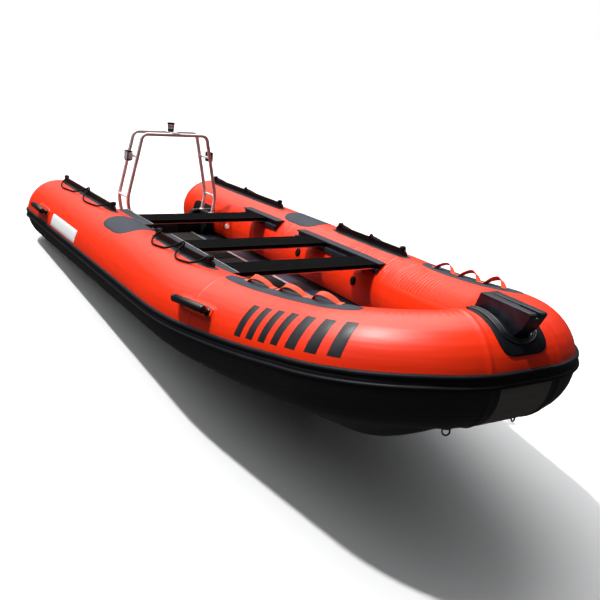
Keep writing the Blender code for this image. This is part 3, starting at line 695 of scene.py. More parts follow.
@dataclass(frozen=True)
class Webbing(Finish):
    """Woven strap: ribs across it in a herringbone, and selvedges along its sides."""

    colour: Colour
    shade: Colour
    width: float = 0.026
    pitch: float = 0.0022

    def lay(self, recipe: Recipe) -> None:
        """Two slanting thread systems that meet at the strap's middle."""
        along, across, _ = recipe.split(recipe.surface())
        fold = (across - self.width / 2).size()
        thread = (along + fold).waves(self.pitch)
        weft = across.waves(self.pitch * 0.9)
        selvedge = fold.ramp(self.width * 0.4, self.width * 0.46)
        place = recipe.place()
        cloud = recipe.noise(place, 30.0, 4.0)
        colour = recipe.blend(thread * 0.35 + cloud * 0.25 + selvedge * 0.2, self.colour, self.shade)
        recipe.relief((thread * 0.7 + weft * 0.3) * 0.00035 + selvedge * 0.0002)
        recipe.coat(colour, 0.62 + cloud * 0.2)


@dataclass(frozen=True)
class Braid(Finish):
    """Braided cord: strands that cross in a diamond pattern round it."""

    colour: Colour
    shade: Colour
    strand: float = 0.005

    def lay(self, recipe: Recipe) -> None:
        """Two opposite helices from the cord's own UV map, with painted shade in the grooves between strands.
        """
        along, across, _ = recipe.split(recipe.surface())
        turn = across * (1.06 * math.tau / self.strand)
        left, right = along.waves(self.strand, turn), along.waves(self.strand, 0.0 - turn)
        weave = left.most(right)
        fuzz = recipe.noise(recipe.place(), 600.0, 2.0)
        # The low grooves between strands take the darker shade colour: painted shade
        colour = recipe.blend(weave * 0.5 + fuzz * 0.3, self.shade, self.colour)
        recipe.relief(weave ** 0.6 * 0.0005 + fuzz * 0.0001)
        recipe.coat(colour, 0.66 + fuzz * 0.15, 0.12)


@dataclass(frozen=True)
class Lens(Finish):
    """Clear or coloured light cover: glossy, with fine prisms inside."""

    colour: Colour
    depth: Colour
    prism: float = 0.004

    def lay(self, recipe: Recipe) -> None:
        """Prism lines of a deeper colour under a smooth coat."""
        line = recipe.split(recipe.place())[2].waves(self.prism)
        mist = recipe.noise(recipe.place(), 60.0, 3.0)
        colour = recipe.blend(line * 0.6 + mist * 0.2, self.colour, self.depth)
        recipe.coat(colour, 0.06 + mist * 0.08, others={"Coat Weight": 1.0, "Coat Roughness": 0.03,
                                                        "Transmission Weight": 0.15, "IOR": 1.49})


@dataclass(frozen=True)
class Vinyl(Finish):
    """Thin plastic sticker: smooth, slightly yellowed and scuffed towards its rim."""

    colour: Colour
    aged: Colour
    roughness: float = 0.3
    gloss: float = 0.5

    def lay(self, recipe: Recipe) -> None:
        """Clouds of age and hair scratches."""
        place = recipe.place()
        cloud = recipe.noise(place, 7.0, 5.0, 0.6).ramp(0.4, 0.8)
        hair = recipe.noise(recipe.surface((2.0, 160.0, 1.0)), 2.0, 4.0).ramp(0.64, 0.8)
        colour = recipe.blend(cloud * 0.5 + hair * 0.25, self.colour, self.aged)
        recipe.relief(recipe.noise(place, 40.0, 2.0) * 0.0004 + hair * 0.00005)
        recipe.coat(colour, self.roughness + cloud * 0.15 + hair * 0.15, self.gloss)


@dataclass(frozen=True)
class StudioPaper(Finish):
    """The pale floor under the boat."""

    colour: Colour

    def lay(self, recipe: Recipe) -> None:
        """Faint clouds in a matt white."""
        cloud = recipe.noise(recipe.place(), 0.7, 3.0)
        colour = recipe.blend(cloud * 0.3, self.colour, tuple(c * 0.985 for c in self.colour))
        recipe.coat(colour, 0.85, 0.2)


@dataclass(frozen=True)
class LitPaper(Finish):
    """Backdrop paper that glows evenly."""

    glow: float

    def lay(self, recipe: Recipe) -> None:
        """Black paper with a plain glow."""
        glow = {"Emission Color": (1.0, 1.0, 1.0), "Emission Strength": self.glow}
        recipe.coat((0.0, 0.0, 0.0), 0.5, 0.0, glow)


@dataclass(frozen=True)
class Palette:
    """Every finish on the boat."""

    orange: Finish = CoatedFabric(
        "orange_coated_fabric", (0.9, 0.029, 0.0006), (0.82, 0.022, 0.0005), (0.92, 0.044, 0.004),
        roughness=0.34, gloss=0.38,
        creases=(Crease((2.1, 3.45), (0.42, 0.7), 0.03, 0.0042),
                 Crease((3.95, 4.42), (0.3, 0.6), 0.03, 0.0022)))
    orange_tape: Finish = CoatedFabric(
        "orange_seam_tape", (0.94, 0.032, 0.001), (0.86, 0.024, 0.0008), (0.96, 0.055, 0.01), roughness=0.34,
        gloss=0.42)
    hull_black: Finish = CoatedFabric(
        "black_coated_fabric", (0.029, 0.0268, 0.0265), (0.038, 0.0355, 0.0345), (0.08, 0.076, 0.073),
        roughness=0.44, gloss=0.14, streak=0.009)
    scuffed_black: Finish = CoatedFabric(
        "black_bow_panel", (0.24, 0.216, 0.198), (0.13, 0.117, 0.107), (0.46, 0.42, 0.39),
        roughness=0.5, gloss=0.14, streak=0.018)
    strake: Finish = Rubber("black_strake_rubber", (0.01, 0.0102, 0.0125), (0.021, 0.022, 0.028),
                            roughness=0.36, gloss=0.08, grain=0.00008)
    rubber: Finish = Rubber("black_moulded_rubber", (0.004, 0.004, 0.0046), (0.011, 0.011, 0.013))
    flap: Finish = Rubber("black_flap_rubber", (0.0032, 0.0032, 0.0036), (0.007, 0.007, 0.008),
                          roughness=0.46, gloss=0.14)
    gloss: Finish = Rubber("black_gloss_plastic", (0.004, 0.004, 0.0046), (0.01, 0.01, 0.012),
                           roughness=0.26, gloss=0.35, grain=0.00004)
    navy: Finish = Rubber("blue_black_rubber", (0.0042, 0.0052, 0.0085), (0.01, 0.012, 0.018),
                          roughness=0.5, gloss=0.14, grain=0.0004)
    # The chock's pale blue-grey second colour is painted sheen: the sky's reflection on its top, laid in
    # clouds all over it
    chock: Finish = Rubber("blue_black_chock", (0.005, 0.0064, 0.011), (0.045, 0.056, 0.09),
                           roughness=0.3, gloss=0.45, grain=0.0003)
    rib: Finish = Rubber("blue_black_rib", (0.006, 0.007, 0.01), (0.012, 0.014, 0.019),
                         roughness=0.3, gloss=0.35, grain=0.0001)
    ribbed: Finish = RibbedRubber("blue_grey_ribbed_rubber", (0.016, 0.021, 0.03), (0.042, 0.052, 0.068))
    rail: Finish = Rubber("blue_grey_rail", (0.015, 0.019, 0.028), (0.034, 0.041, 0.054), roughness=0.42)
    seat: Finish = Grit("black_seat_grit", (0.0038, 0.0034, 0.0036), (0.0085, 0.0075, 0.008), gloss=0.02)
    deck: Finish = Grit("brown_black_deck_grit", (0.014, 0.0112, 0.01), (0.036, 0.03, 0.027))
    board: Finish = Grit("black_coated_board", (0.006, 0.006, 0.0068), (0.018, 0.0175, 0.018), 0.5, 0.0003)
    floor_blue: Finish = CoatedFabric(
        "blue_grey_floor_fabric", (0.02, 0.027, 0.048), (0.011, 0.015, 0.027), (0.06, 0.075, 0.12),
        roughness=0.42, gloss=0.2, streak=0.004)
    steel: Finish = Metal("polished_stainless", (0.9, 0.87, 0.86), 0.34, metallic=0.3)
    aluminium: Finish = Metal("anodised_aluminium", (0.8, 0.8, 0.81), 0.3, 0.00006, 0.12)
    webbing: Finish = Webbing("orange_webbing", (0.9, 0.085, 0.02), (0.72, 0.05, 0.01))
    black_webbing: Finish = Webbing("black_webbing", (0.012, 0.012, 0.013), (0.03, 0.03, 0.032))
    cord: Finish = Braid("black_braided_cord", (0.01, 0.01, 0.011), (0.003, 0.003, 0.0035))
    thread: Finish = Braid("pale_thread", (0.75, 0.7, 0.66), (0.5, 0.46, 0.42), 0.002)
    clear_lens: Finish = Lens("clear_lens", (0.82, 0.84, 0.86), (0.45, 0.47, 0.5))
    red_lens: Finish = Lens("red_lens", (0.62, 0.03, 0.02), (0.35, 0.012, 0.01))
    white: Finish = Vinyl("white_vinyl", (0.84, 0.85, 0.85), (0.74, 0.73, 0.69))
    black_vinyl: Finish = Vinyl("black_vinyl", (0.011, 0.0105, 0.012), (0.028, 0.027, 0.029), 0.4, 0.28)
    paper: Finish = StudioPaper("studio_paper", (0.82, 0.82, 0.82))
    backdrop: Finish = LitPaper("backdrop_paper", 1.0)


# Making meshes

def linked(name: str, data: bpy.types.ID) -> bpy.types.Object:
    """A new object at the origin, in the scene."""
    made = bpy.data.objects.new(name, data)
    bpy.context.scene.collection.objects.link(made)
    return made


class Shape:
    """Closed parts of one piece, with UVs in metres and a finish number on each face."""

    def __init__(self) -> None:
        """Starts empty."""
        self.points: list[np.ndarray] = []
        self.faces: list[list[int]] = []
        self.uvs: list[tuple[float, float]] = []
        self.slots: list[int] = []
        self.count = 0

    def add(self, points: np.ndarray, faces: list[Sequence[int]], uvs: list[Sequence[Sequence[float]]],
            slots: Sequence[int]) -> None:
        """Adds one closed part and turns it so that its faces point outwards.

        Args:
            points: its corners.
            faces: corner numbers of each face.
            uvs: a pair for each corner.
            slots: finish number of each face.
        """
        volume = 0.0
        for face in faces:
            corner = points[face[0]]
            for a, b in zip(face[1:], face[2:]):
                volume += float(corner @ np.cross(points[a], points[b]))
        turned = -1 if volume < 0 else 1
        for face, uv in zip(faces, uvs):
            self.faces.append([index + self.count for index in face][::turned])
            self.uvs.extend(list(uv)[::turned])
        self.slots.extend(slots)
        self.points.append(points)
        self.count += len(points)

    def loft(self, rings: np.ndarray, along: np.ndarray | None = None, around: np.ndarray | None = None,
             slot: Slot = 0, closed: bool = False) -> None:
        """A closed part through rings of equal count.

        Args:
            rings: points by ring and place on it.
            along: UV length of each ring, with one more where they close.
            around: UV width of each place, with one more for the seam.
            slot: finish number, or a function of ring and place.
            closed: whether the last ring meets the first; if not, caps end the part.
        """
        rows, columns = rings.shape[:2]
        if along is None:
            along = run_lengths(rings.mean(axis=1))
        if around is None:
            middle = rings[rows // 2]
            around = run_lengths(np.concatenate([middle, middle[:1]]))
        faces, uvs, slots = [], [], []
        for i in range(rows if closed else rows - 1):
            for j in range(columns):
                corners = ((i, j), (i, j + 1), (i + 1, j + 1), (i + 1, j))
                faces.append([a % rows * columns + b % columns for a, b in corners])
                uvs.append([(along[a], around[b]) for a, b in corners])
                slots.append(slot(i, j) if callable(slot) else slot)
        for i, order in () if closed else ((0, -1), (rows - 1, 1)):
            faces.append([i * columns + j for j in range(columns)][::order])
            uvs.append([(along[i], around[j]) for j in range(columns)][::order])
            slots.append(slot(i, 0) if callable(slot) else slot)
        self.add(rings.reshape(-1, 3), faces, uvs, slots)

    def shell(self, top: np.ndarray, under: np.ndarray, uv: np.ndarray, slot: int = 0) -> None:
        """A thin closed part between two grids of points that share UVs.

        Args:
            top: outer points by row and column.
            under: inner points, likewise.
            uv: UVs, likewise.
            slot: finish number.
        """
        rows, columns = top.shape[:2]
        points = np.concatenate([top.reshape(-1, 3), under.reshape(-1, 3)])
        base = rows * columns
        faces, uvs = [], []
        for i in range(rows - 1):
            for j in range(columns - 1):
                quad = [(i, j), (i, j + 1), (i + 1, j + 1), (i + 1, j)]
                faces.append([a * columns + b for a, b in quad])
                uvs.append([uv[a, b] for a, b in quad])
                faces.append([base + a * columns + b for a, b in quad[::-1]])
                uvs.append([uv[a, b] for a, b in quad[::-1]])
        rim = [(0, j) for j in range(columns)] + [(i, columns - 1) for i in range(1, rows)]
        rim += [(rows - 1, j) for j in range(columns - 2, -1, -1)] + [(i, 0) for i in range(rows - 2, 0, -1)]
        for (a, b), (c, d) in zip(rim, rim[1:] + rim[:1]):
            faces.append([a * columns + b, base + a * columns + b, base + c * columns + d, c * columns + d])
            uvs.append([uv[a, b], uv[a, b], uv[c, d], uv[c, d]])
        self.add(points, faces, uvs, [slot] * len(faces))

    def sweep(self, points: np.ndarray, section: np.ndarray, first: Any = None, slot: int = 0,
              twist: np.ndarray | None = None) -> None:
        """A part with a constant section along a path; first is the direction of the section's first axis.

        Args:
            points: the path.
            section: the section's points in its own plane.
            first: direction of the section's first axis at the start.
            slot: finish number.
            twist: turn at each point, in radians.
        """
        _, across, over = carried_frames(points, first)
        if twist is not None:
            c, s = np.cos(twist)[:, None], np.sin(twist)[:, None]
            across, over = c * across + s * over, c * over - s * across
        section = np.asarray(section, float)
        rings = (points[:, None] + section[None, :, :1] * across[:, None]
                 + section[None, :, 1:] * over[:, None])
        self.loft(rings, slot=slot)

    def rod(self, points: Any, radius: Any, sides: int = 16, slot: int = 0, end: End = End.ROUND,
            first: Any = None) -> None:
        """A round bar along a path, with flat or rounded ends.

        Args:
            points: the path.
            radius: its radius, or one for each point.
            sides: faces round it.
            slot: finish number.
            end: how it finishes.
            first: direction in which its faces start.
        """
        points = np.asarray(points, float)
        radius = np.broadcast_to(np.asarray(radius, float), (len(points),))
        ahead, across, over = carried_frames(points, first)
        rows = [(points[i], radius[i], i) for i in range(len(points))]
        if end is End.ROUND:
            for i, sign in ((0, -1.0), (len(points) - 1, 1.0)):
                reach = ahead[i] * sign * radius[i]
                caps = [(points[i] + reach * math.sin(turn), radius[i] * math.cos(turn), i)
                        for turn in np.radians((30.0, 55.0, 75.0, 87.0))]
                rows = caps[::-1] + rows if i == 0 else rows + caps
        turns = np.linspace(0.0, math.tau, sides, endpoint=False)[:, None]
        rings = np.array([centre + r * (np.cos(turns) * across[i] + np.sin(turns) * over[i])
                          for centre, r, i in rows])
        self.loft(rings, around=np.linspace(0.0, math.tau * float(radius.max()), sides + 1), slot=slot)

    def ring(self, centre: Any, axis: Any, radius: float, thick: float, sides: int = 10, steps: int = 28,
             slot: int = 0, turn: tuple[float, float] = (0.0, 360.0)) -> None:
        """A torus, or a bent bar where turn spans less than a full circle, in degrees.

        Args:
            centre: its middle.
            axis: direction through its hole.
            radius: from the middle to the bar's axis.
            thick: the bar's radius.
            sides: faces round the bar.
            steps: points along it.
            slot: finish number.
            turn: angles from and to.
        """
        full = turn[1] - turn[0] >= 360.0
        axis, out = spokes(axis, np.radians(np.linspace(*turn, steps, endpoint=not full)))
        path = np.asarray(centre, float) + radius * out
        if not full:
            self.rod(path, thick, sides, slot)
            return
        around = np.linspace(0.0, math.tau, sides, endpoint=False)[None, :, None]
        rings = path[:, None] + thick * (np.cos(around) * out[:, None] + np.sin(around) * axis)
        self.loft(rings, np.linspace(0.0, math.tau * radius, steps + 1),
                  np.linspace(0.0, math.tau * thick, sides + 1), slot, closed=True)

    def lathe(self, centre: Any, axis: Any, profile: Pairs, sides: int = 32,
              slot: Slot = 0) -> None:
        """A turned part: radius and height pairs about an axis from its foot.

        Args:
            centre: its foot.
            axis: direction of its axis.
            profile: the pairs.
            sides: faces round it.
            slot: finish number, or a function of ring and place.
        """
        axis, out = spokes(axis, np.linspace(0.0, math.tau, sides, endpoint=False))
        rings = np.array([np.asarray(centre, float) + axis * height + max(radius, 0.0002) * out
                          for radius, height in profile])
        widest = max(radius for radius, _ in profile)
        self.loft(rings, run_lengths(np.array(profile)), np.linspace(0.0, math.tau * widest, sides + 1), slot)

    def block(self, low: Sequence[float], high: Sequence[float], bevel: float = 0.002, slot: int = 0,
              turn: Matrix | None = None, segments: int = 2) -> None:
        """A box with rounded edges, turned by a matrix if one is given.

        Args:
            low: its lowest corner.
            high: its highest corner.
            bevel: how far edges are cut back.
            slot: finish number.
            turn: the matrix.
            segments: steps round each edge.
        """
        work = bmesh.new()
        bmesh.ops.create_cube(work, size=1.0)
        bmesh.ops.scale(work, vec=[b - a for a, b in zip(low, high)], verts=work.verts)
        bmesh.ops.translate(work, vec=[(a + b) / 2 for a, b in zip(low, high)], verts=work.verts)
        bmesh.ops.bevel(work, geom=work.edges[:], offset=bevel, segments=segments, affect="EDGES",
                        profile=0.7)
        if turn is not None:
            bmesh.ops.transform(work, matrix=turn, verts=work.verts)
        work.verts.index_update()
        points = np.array([vertex.co[:] for vertex in work.verts])
        faces = [[vertex.index for vertex in face.verts] for face in work.faces]
        uvs = []
        for face in work.faces:
            drop = int(np.argmax(np.abs(face.normal)))
            keep = [axis for axis in range(3) if axis != drop]
            uvs.append([(vertex.co[keep[0]], vertex.co[keep[1]]) for vertex in face.verts])
        work.free()
        self.add(points, faces, uvs, [slot] * len(faces))

    def mesh(self, name: str) -> bpy.types.Mesh:
        """One mesh from all the parts."""
        made = bpy.data.meshes.new(name)
        made.from_pydata(np.concatenate(self.points), [], self.faces)
        layer = made.uv_layers.new(name="UVMap")
        layer.data.foreach_set("uv", np.array(self.uvs, dtype=float).ravel())
        made.polygons.foreach_set("material_index", self.slots)
        return made


# What repeats

class Pattern(NodeBook):
    """A Geometry Nodes tree with named inputs that turns a base mesh into a repeated one."""

    def __init__(self, name: str, inputs: dict[str, str]) -> None:
        """Makes the tree and its sockets; inputs gives each one's kind."""
        super().__init__(bpy.data.node_groups.new(name, "GeometryNodeTree"))
        sockets = {"Base": "Geometry", **inputs, "Finish": "Material"}
        for label, kind in sockets.items():
            self.tree.interface.new_socket(label, in_out="INPUT", socket_type=f"NodeSocket{kind}")
        self.tree.interface.new_socket("Result", in_out="OUTPUT", socket_type="NodeSocketGeometry")
        self.source = {output.name: Wire(self, output) for output in self.node("NodeGroupInput").outputs}

    def scatter(self, points: Wire, copied: Wire, values: dict[str, Any]) -> None:
        """Ends the tree in copies at each point, as real faces with a material.

        Args:
            points: where the copies go.
            copied: what is copied.
            values: turn or scale of each copy.
        """
        laid = self.wire("GeometryNodeInstanceOnPoints", None,
                         {"Points": points, "Instance": copied, **values})
        real = self.wire("GeometryNodeRealizeInstances", None, {0: laid})
        dressed = self.wire("GeometryNodeSetMaterial", None,
                            {"Geometry": real, "Material": self.source["Finish"]})
        self.node("NodeGroupOutput", None, {0: dressed})

    def grow(self, base: bpy.types.Mesh, values: dict[str, Any], finish: Finish) -> bpy.types.Mesh:
        """A plain mesh grown from a base mesh.

        Args:
            base: mesh that the pattern starts from.
            values: the named inputs.
            finish: what the result is made of.

        Returns:
            The grown mesh, with no modifier left.
        """
        carrier = linked("carrier", base)
        modifier = carrier.modifiers.new("pattern", "NODES")
        modifier.node_group = self.tree
        values = {**values, "Finish": finish.material()}
        for item in self.tree.interface.items_tree:
            if item.in_out == "INPUT" and item.name in values:
                modifier[item.identifier] = values[item.name]
        graph = bpy.context.evaluated_depsgraph_get()
        grown = bpy.data.meshes.new_from_object(carrier.evaluated_get(graph), depsgraph=graph)
        carrier.modifiers.remove(modifier)
        bpy.data.objects.remove(carrier)
        return grown


class RibRow(Pattern):
    """Rounded ribs side by side."""

    def __init__(self) -> None:
        """Lays a flattened bar at every step of a line."""
        super().__init__("rib_row", {"Start": "Vector", "Span": "Vector", "Step": "Vector", "Count": "Int",
                                     "Width": "Float", "Rise": "Float"})
        source = self.source
        half = source["Width"] * 0.5
        line = self.wire("GeometryNodeCurvePrimitiveLine", None, {"End": source["Span"]})
        profile = self.wire("GeometryNodeCurvePrimitiveCircle", None, {"Resolution": 8, "Radius": half})
        bar = self.wire("GeometryNodeCurveToMesh", None,
                        {"Curve": line, "Profile Curve": profile, "Fill Caps": True})
        spots = self.wire("GeometryNodeMeshLine", None, {"Count": source["Count"], "Offset": source["Step"],
                                                         "Start Location": source["Start"]})
        flat = self.wire("ShaderNodeCombineXYZ", None, {"X": 1.0, "Y": 1.0, "Z": source["Rise"] / half})
        self.scatter(spots, bar, {"Scale": flat})


class BoltScatter(Pattern):
    """Bolt heads on washers, one at each base point, all facing one way."""

    def __init__(self) -> None:
        """Joins a washer and a six-sided head and turns them to face out."""
        super().__init__("bolt_scatter", {"Facing": "Vector", "Radius": "Float", "Rise": "Float"})
        source = self.source
        radius, rise = source["Radius"], source["Rise"]
        washer = self.wire("GeometryNodeMeshCylinder", None,
                           {"Vertices": 20, "Radius": radius, "Depth": rise * 0.6}, "Mesh")
        head = self.wire("GeometryNodeMeshCone", None,
                         {"Vertices": 6, "Side Segments": 2, "Radius Top": radius * 0.5,
                          "Radius Bottom": radius * 0.66, "Depth": rise}, "Mesh")
        both = self.node("GeometryNodeJoinGeometry", None, {0: washer})
        self.fill(both, {0: head})
        turn = self.wire("FunctionNodeAlignRotationToVector", {"axis": "Z"}, {"Vector": source["Facing"]})
        self.scatter(source["Base"], Wire(self, both.outputs[0]), {"Rotation": turn})


class StitchRun(Pattern):
    """Stitches along the base's edges."""

    def __init__(self) -> None:
        """Lays a small lengthened bead at even steps and turns it along the line."""
        super().__init__("stitch_run", {"Pitch": "Float", "Thread": "Float"})
        pitch, thread = self.source["Pitch"], self.source["Thread"]
        curve = self.wire("GeometryNodeMeshToCurve", None, {0: self.source["Base"]})
        even = self.wire("GeometryNodeResampleCurve", {"mode": "LENGTH"}, {"Curve": curve, "Length": pitch})
        bead = self.wire("GeometryNodeMeshUVSphere", None, {"Segments": 6, "Rings": 4, "Radius": thread})
        tangent = self.wire("GeometryNodeInputTangent")
        turn = self.wire("FunctionNodeAlignRotationToVector", {"axis": "X"}, {"Vector": tangent})
        size = self.wire("ShaderNodeCombineXYZ", None, {"X": pitch * 0.36 / thread, "Y": 1.0, "Z": 1.0})
        self.scatter(even, bead, {"Rotation": turn, "Scale": size})


@dataclass
class Patterns:
    """The three patterns that the boat's small repeated parts come from."""

    ribs: RibRow = field(default_factory=RibRow)
    bolts: BoltScatter = field(default_factory=BoltScatter)
    stitches: StitchRun = field(default_factory=StitchRun)


@dataclass
class Workshop:
    """What every sub-assembly works with: the hull's form, the finishes and the making of pieces."""

    form: HullForm = field(default_factory=HullForm)
    palette: Palette = field(default_factory=Palette)
    patterns: Patterns = field(default_factory=Patterns)
    made: int = 0

    def piece(self, name: str, source: Shape | bpy.types.Mesh, finishes: Sequence[Finish], body: str = "hull",
              replaces: str | None = None, slot: str | None = None, sharp: float = 40.0,
              level: bool = True) -> bpy.types.Object:
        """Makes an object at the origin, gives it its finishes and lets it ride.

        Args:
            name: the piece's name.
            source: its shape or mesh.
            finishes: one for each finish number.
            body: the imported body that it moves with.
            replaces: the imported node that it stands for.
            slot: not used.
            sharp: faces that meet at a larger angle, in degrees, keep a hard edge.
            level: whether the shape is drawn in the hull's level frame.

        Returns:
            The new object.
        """
        mesh = source.mesh(name) if isinstance(source, Shape) else source
        mesh.name = name
        if level:
            mesh.transform(self.form.attitude)
        work = bmesh.new()
        work.from_mesh(mesh)
        bmesh.ops.remove_doubles(work, verts=work.verts, dist=0.00002)
        bmesh.ops.dissolve_degenerate(work, edges=work.edges, dist=0.00001)
        work.to_mesh(mesh)
        work.free()
        if mesh.materials:
            mesh.materials.clear()
        for finish in finishes:
            mesh.materials.append(finish.material())
        mesh.shade_smooth()
        mesh.set_sharp_from_angle(angle=math.radians(sharp))
        made = linked(name, mesh)
        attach(made, body)
        if replaces:
            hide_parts(replaces)
        self.made += 1
        log.info("%s: %d faces", name, len(mesh.polygons))
        return made

    def rounded(self, node: str, name: str, finish: Finish, width: float, segments: int = 3) -> None:
        """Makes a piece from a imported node's own mesh, with its edges rounded.

        Args:
            node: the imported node, which the piece replaces.
            name: the piece's name.
            finish: what it is made of.
            width: how far each edge is cut back.
            segments: steps round each edge.
        """
        work = bmesh.new()
        work.from_mesh(bpy.data.objects[node].data)
        bmesh.ops.remove_doubles(work, verts=work.verts, dist=0.00002)
        bmesh.ops.dissolve_limit(work, angle_limit=math.radians(1.0), verts=work.verts, edges=work.edges)
        edges = [edge for edge in work.edges if len(edge.link_faces) == 2
                 and edge.calc_face_angle(0.0) > math.radians(25.0)]
        bmesh.ops.bevel(work, geom=edges, offset=width, segments=segments, affect="EDGES", profile=0.7,
                        clamp_overlap=True)
        mesh = bpy.data.meshes.new(node)
        work.to_mesh(mesh)
        work.free()
        self.piece(name, mesh, [finish], replaces=node, level=False)

    def dress(self, node: str, finish: Finish) -> None:
        """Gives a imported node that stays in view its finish."""
        target = bpy.data.objects[node]
        target.data.materials.clear()
        target.data.materials.append(finish.material())

    def bolts(self, name: str, spots: Sequence[Colour], facing: Colour, radius: float, rise: float) -> None:
        """A piece of stainless bolt heads, one at each spot.

        Args:
            name: the piece's name.
            spots: where each head sits.
            facing: where they point.
            radius: the washer's radius.
            rise: the head's height.
        """
        base = bpy.data.meshes.new("spots")
        base.from_pydata(spots, [], [])
        steel = self.palette.steel
        grown = self.patterns.bolts.grow(base, {"Facing": facing, "Radius": radius, "Rise": rise}, steel)
        self.piece(name, grown, [steel], slot="light_arch")

    def stitches(self, name: str, lines: Sequence[np.ndarray], pitch: float, thread: float, finish: Finish,
                 slot: str) -> None:
        """A piece of stitches along lines of equal count.

        Args:
            name: the piece's name.
            lines: points of each line.
            pitch: from stitch to stitch.
            thread: the thread's radius.
            finish: what it is made of.
            slot: the record's slot.
        """
        count = len(lines[0])
        edges = [(k, k + 1) for k in range(count * len(lines) - 1) if (k + 1) % count]
        base = bpy.data.meshes.new("lines")
        base.from_pydata([tuple(p) for line in lines for p in line], edges, [])
        grown = self.patterns.stitches.grow(base, {"Pitch": pitch, "Thread": thread}, finish)
        self.piece(name, grown, [finish], slot=slot)

    def ribs(self, name: str, values: dict[str, Any], finish: Finish, slot: str, body: str = "hull") -> None:
        """A piece of ribs, from their start, span, step, count, width and rise."""
        grown = self.patterns.ribs.grow(bpy.data.meshes.new("base"), values, finish)
        self.piece(name, grown, [finish], body, slot=slot)

    def patch(self, shape: Shape, side: Side, span: tuple[float, float], angles: tuple[float, float],
              thick: float, power: float = 4.0, rim: float = 0.005, slot: int = 0) -> None:
        """A patch with rounded ends and sloping rims, bonded on a tube.

        Args:
            shape: where the patch is added.
            side: which tube.
            span: lengths along the axis from and to.
            angles: angles from and to.
            thick: its thickness.
            power: how square its corners are; 2 is an ellipse.
            rim: width of the sloping rim.
            slot: finish number.
        """
        form = self.form
        mid, half = (span[0] + span[1]) / 2, (span[1] - span[0]) / 2
        centre, reach = (angles[0] + angles[1]) / 2, (angles[1] - angles[0]) / 2
        even = np.linspace(-0.97, 0.97, max(4, int(2 * half / 0.025)))
        share = np.unique(np.round(np.concatenate([oval(29, power), even]), 5))
        width = oval_width(share, power)
        columns, stand = sloped_rim(share, width * (math.radians(reach) * form.tube_r), half, rim,
                                    max(5, int(reach / 2.0)))
        s = np.broadcast_to(mid + half * share[:, None], columns.shape)
        angle = centre + reach * width[:, None] * columns
        top = form.on_tube(s, angle, thick * (0.2 + 0.8 * stand), side)
        under = form.on_tube(s, angle, -0.001, side)
        shape.shell(top, under, form.uv(s, angle), slot)


@dataclass
class Assembly:
    """A group of the boat's parts, made in the workshop."""

    shop: Workshop

    @property
    def tools(self) -> tuple[Workshop, Palette, HullForm]:
        """The workshop, its finishes and the hull's form."""
        return self.shop, self.shop.palette, self.shop.form


# Camera, floor and light

@dataclass
class PhotoCamera(Assembly):
    """The camera, placed in the hull's level frame as the photograph was taken."""

    spot: Colour = (5.391, -2.46, 1.327)
    turn: Colour = (1.6256, 0.991, -0.6278)
    lens: float = 48.13

    def build(self) -> None:
        """Sets the scene's camera."""
        vector = Vector(self.turn)
        rows = Matrix.Rotation(vector.length, 3, vector.normalized())
        place = Matrix((rows[0], -rows[1], -rows[2])).transposed().to_4x4()
        place.translation = Vector(self.spot)
        data = bpy.data.cameras.new("photo_camera")
        data.lens = self.lens
        data.sensor_width = 36.0
        data.clip_end = 200.0
        camera = linked("photo_camera", data)
        camera.matrix_world = self.shop.form.attitude @ place
        bpy.context.scene.camera = camera


@dataclass
class Studio(Assembly):
    """A pale floor and backdrop that light nothing themselves, under a high sun and a sky bright aft."""

    reach: float = 90.0
    # Direction, strength and how wide each light looks, in degrees
    sun: tuple[Colour, float, float] = ((-0.35, -0.33, 0.88), 3.3, 2.5)
    glow: tuple[Colour, float, float] = ((-0.55, 0.1, 0.82), 1.4, 50.0)
    sky_aft: float = 2.8
    sky_ahead: float = 0.12
    treeline: float = 0.04
    ground: float = 0.07

    def build(self) -> None:
        """Lays the floor, hangs the backdrop and sets the lights."""
        half = self.reach
        corners = [(-half, -half, 0), (half, -half, 0), (half, half, 0), (-half, half, 0)]
        floor = bpy.data.meshes.new("studio_floor")
        floor.from_pydata(corners, [], [(0, 1, 2, 3)])
        self.stage(floor, self.shop.palette.paper)
        work = bmesh.new()
        bmesh.ops.create_uvsphere(work, u_segments=48, v_segments=24, radius=half * 0.95)
        bmesh.ops.reverse_faces(work, faces=work.faces)
        backdrop = bpy.data.meshes.new("studio_backdrop")
        work.to_mesh(backdrop)
        work.free()
        self.stage(backdrop, self.shop.palette.backdrop).visible_shadow = False
        self.sky()
        self.far_light("sun", *self.sun)
        self.far_light("glow", *self.glow)
        bpy.context.scene.view_settings.view_transform = "Standard"

    def stage(self, mesh: bpy.types.Mesh, finish: Finish) -> bpy.types.Object:
        """Adds a surface that only the camera sees, apart from the shadows that fall on it."""
        mesh.materials.append(finish.material())
        made = linked(mesh.name, mesh)
        made.visible_diffuse = False
        made.visible_glossy = False
        made.visible_transmission = False
        made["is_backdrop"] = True
        return made

    def far_light(self, name: str, place: Colour, strength: float, spread: float) -> None:
        """Lights the boat evenly from far off."""
        data = bpy.data.lights.new(name, "SUN")
        data.energy = strength
        data.angle = math.radians(spread)
        light = linked(name, data)
        light.rotation_euler = (-Vector(place)).to_track_quat("-Z", "Y").to_euler()

    def sky(self) -> None:
        """Shades the world by direction: dark below, dim along the horizon and ahead, bright aft."""
        world = bpy.data.worlds.new("sky")
        bpy.context.scene.world = world
        world.use_nodes = True
        book = NodeBook(world.node_tree)
        ahead, _, height = book.split(book.wire("ShaderNodeTexCoord", output="Generated"))
        above = self.sky_aft + ahead.ramp(-0.85, 0.15) * (self.sky_ahead - self.sky_aft)
        above = self.treeline + height.ramp(0.2, 0.6) * (above - self.treeline)
        strength = self.ground + height.ramp(-0.02, 0.02) * (above - self.ground)
        book.fill(world.node_tree.nodes["Background"], {"Color": (0.97, 0.985, 1.0), "Strength": strength})


# Cords

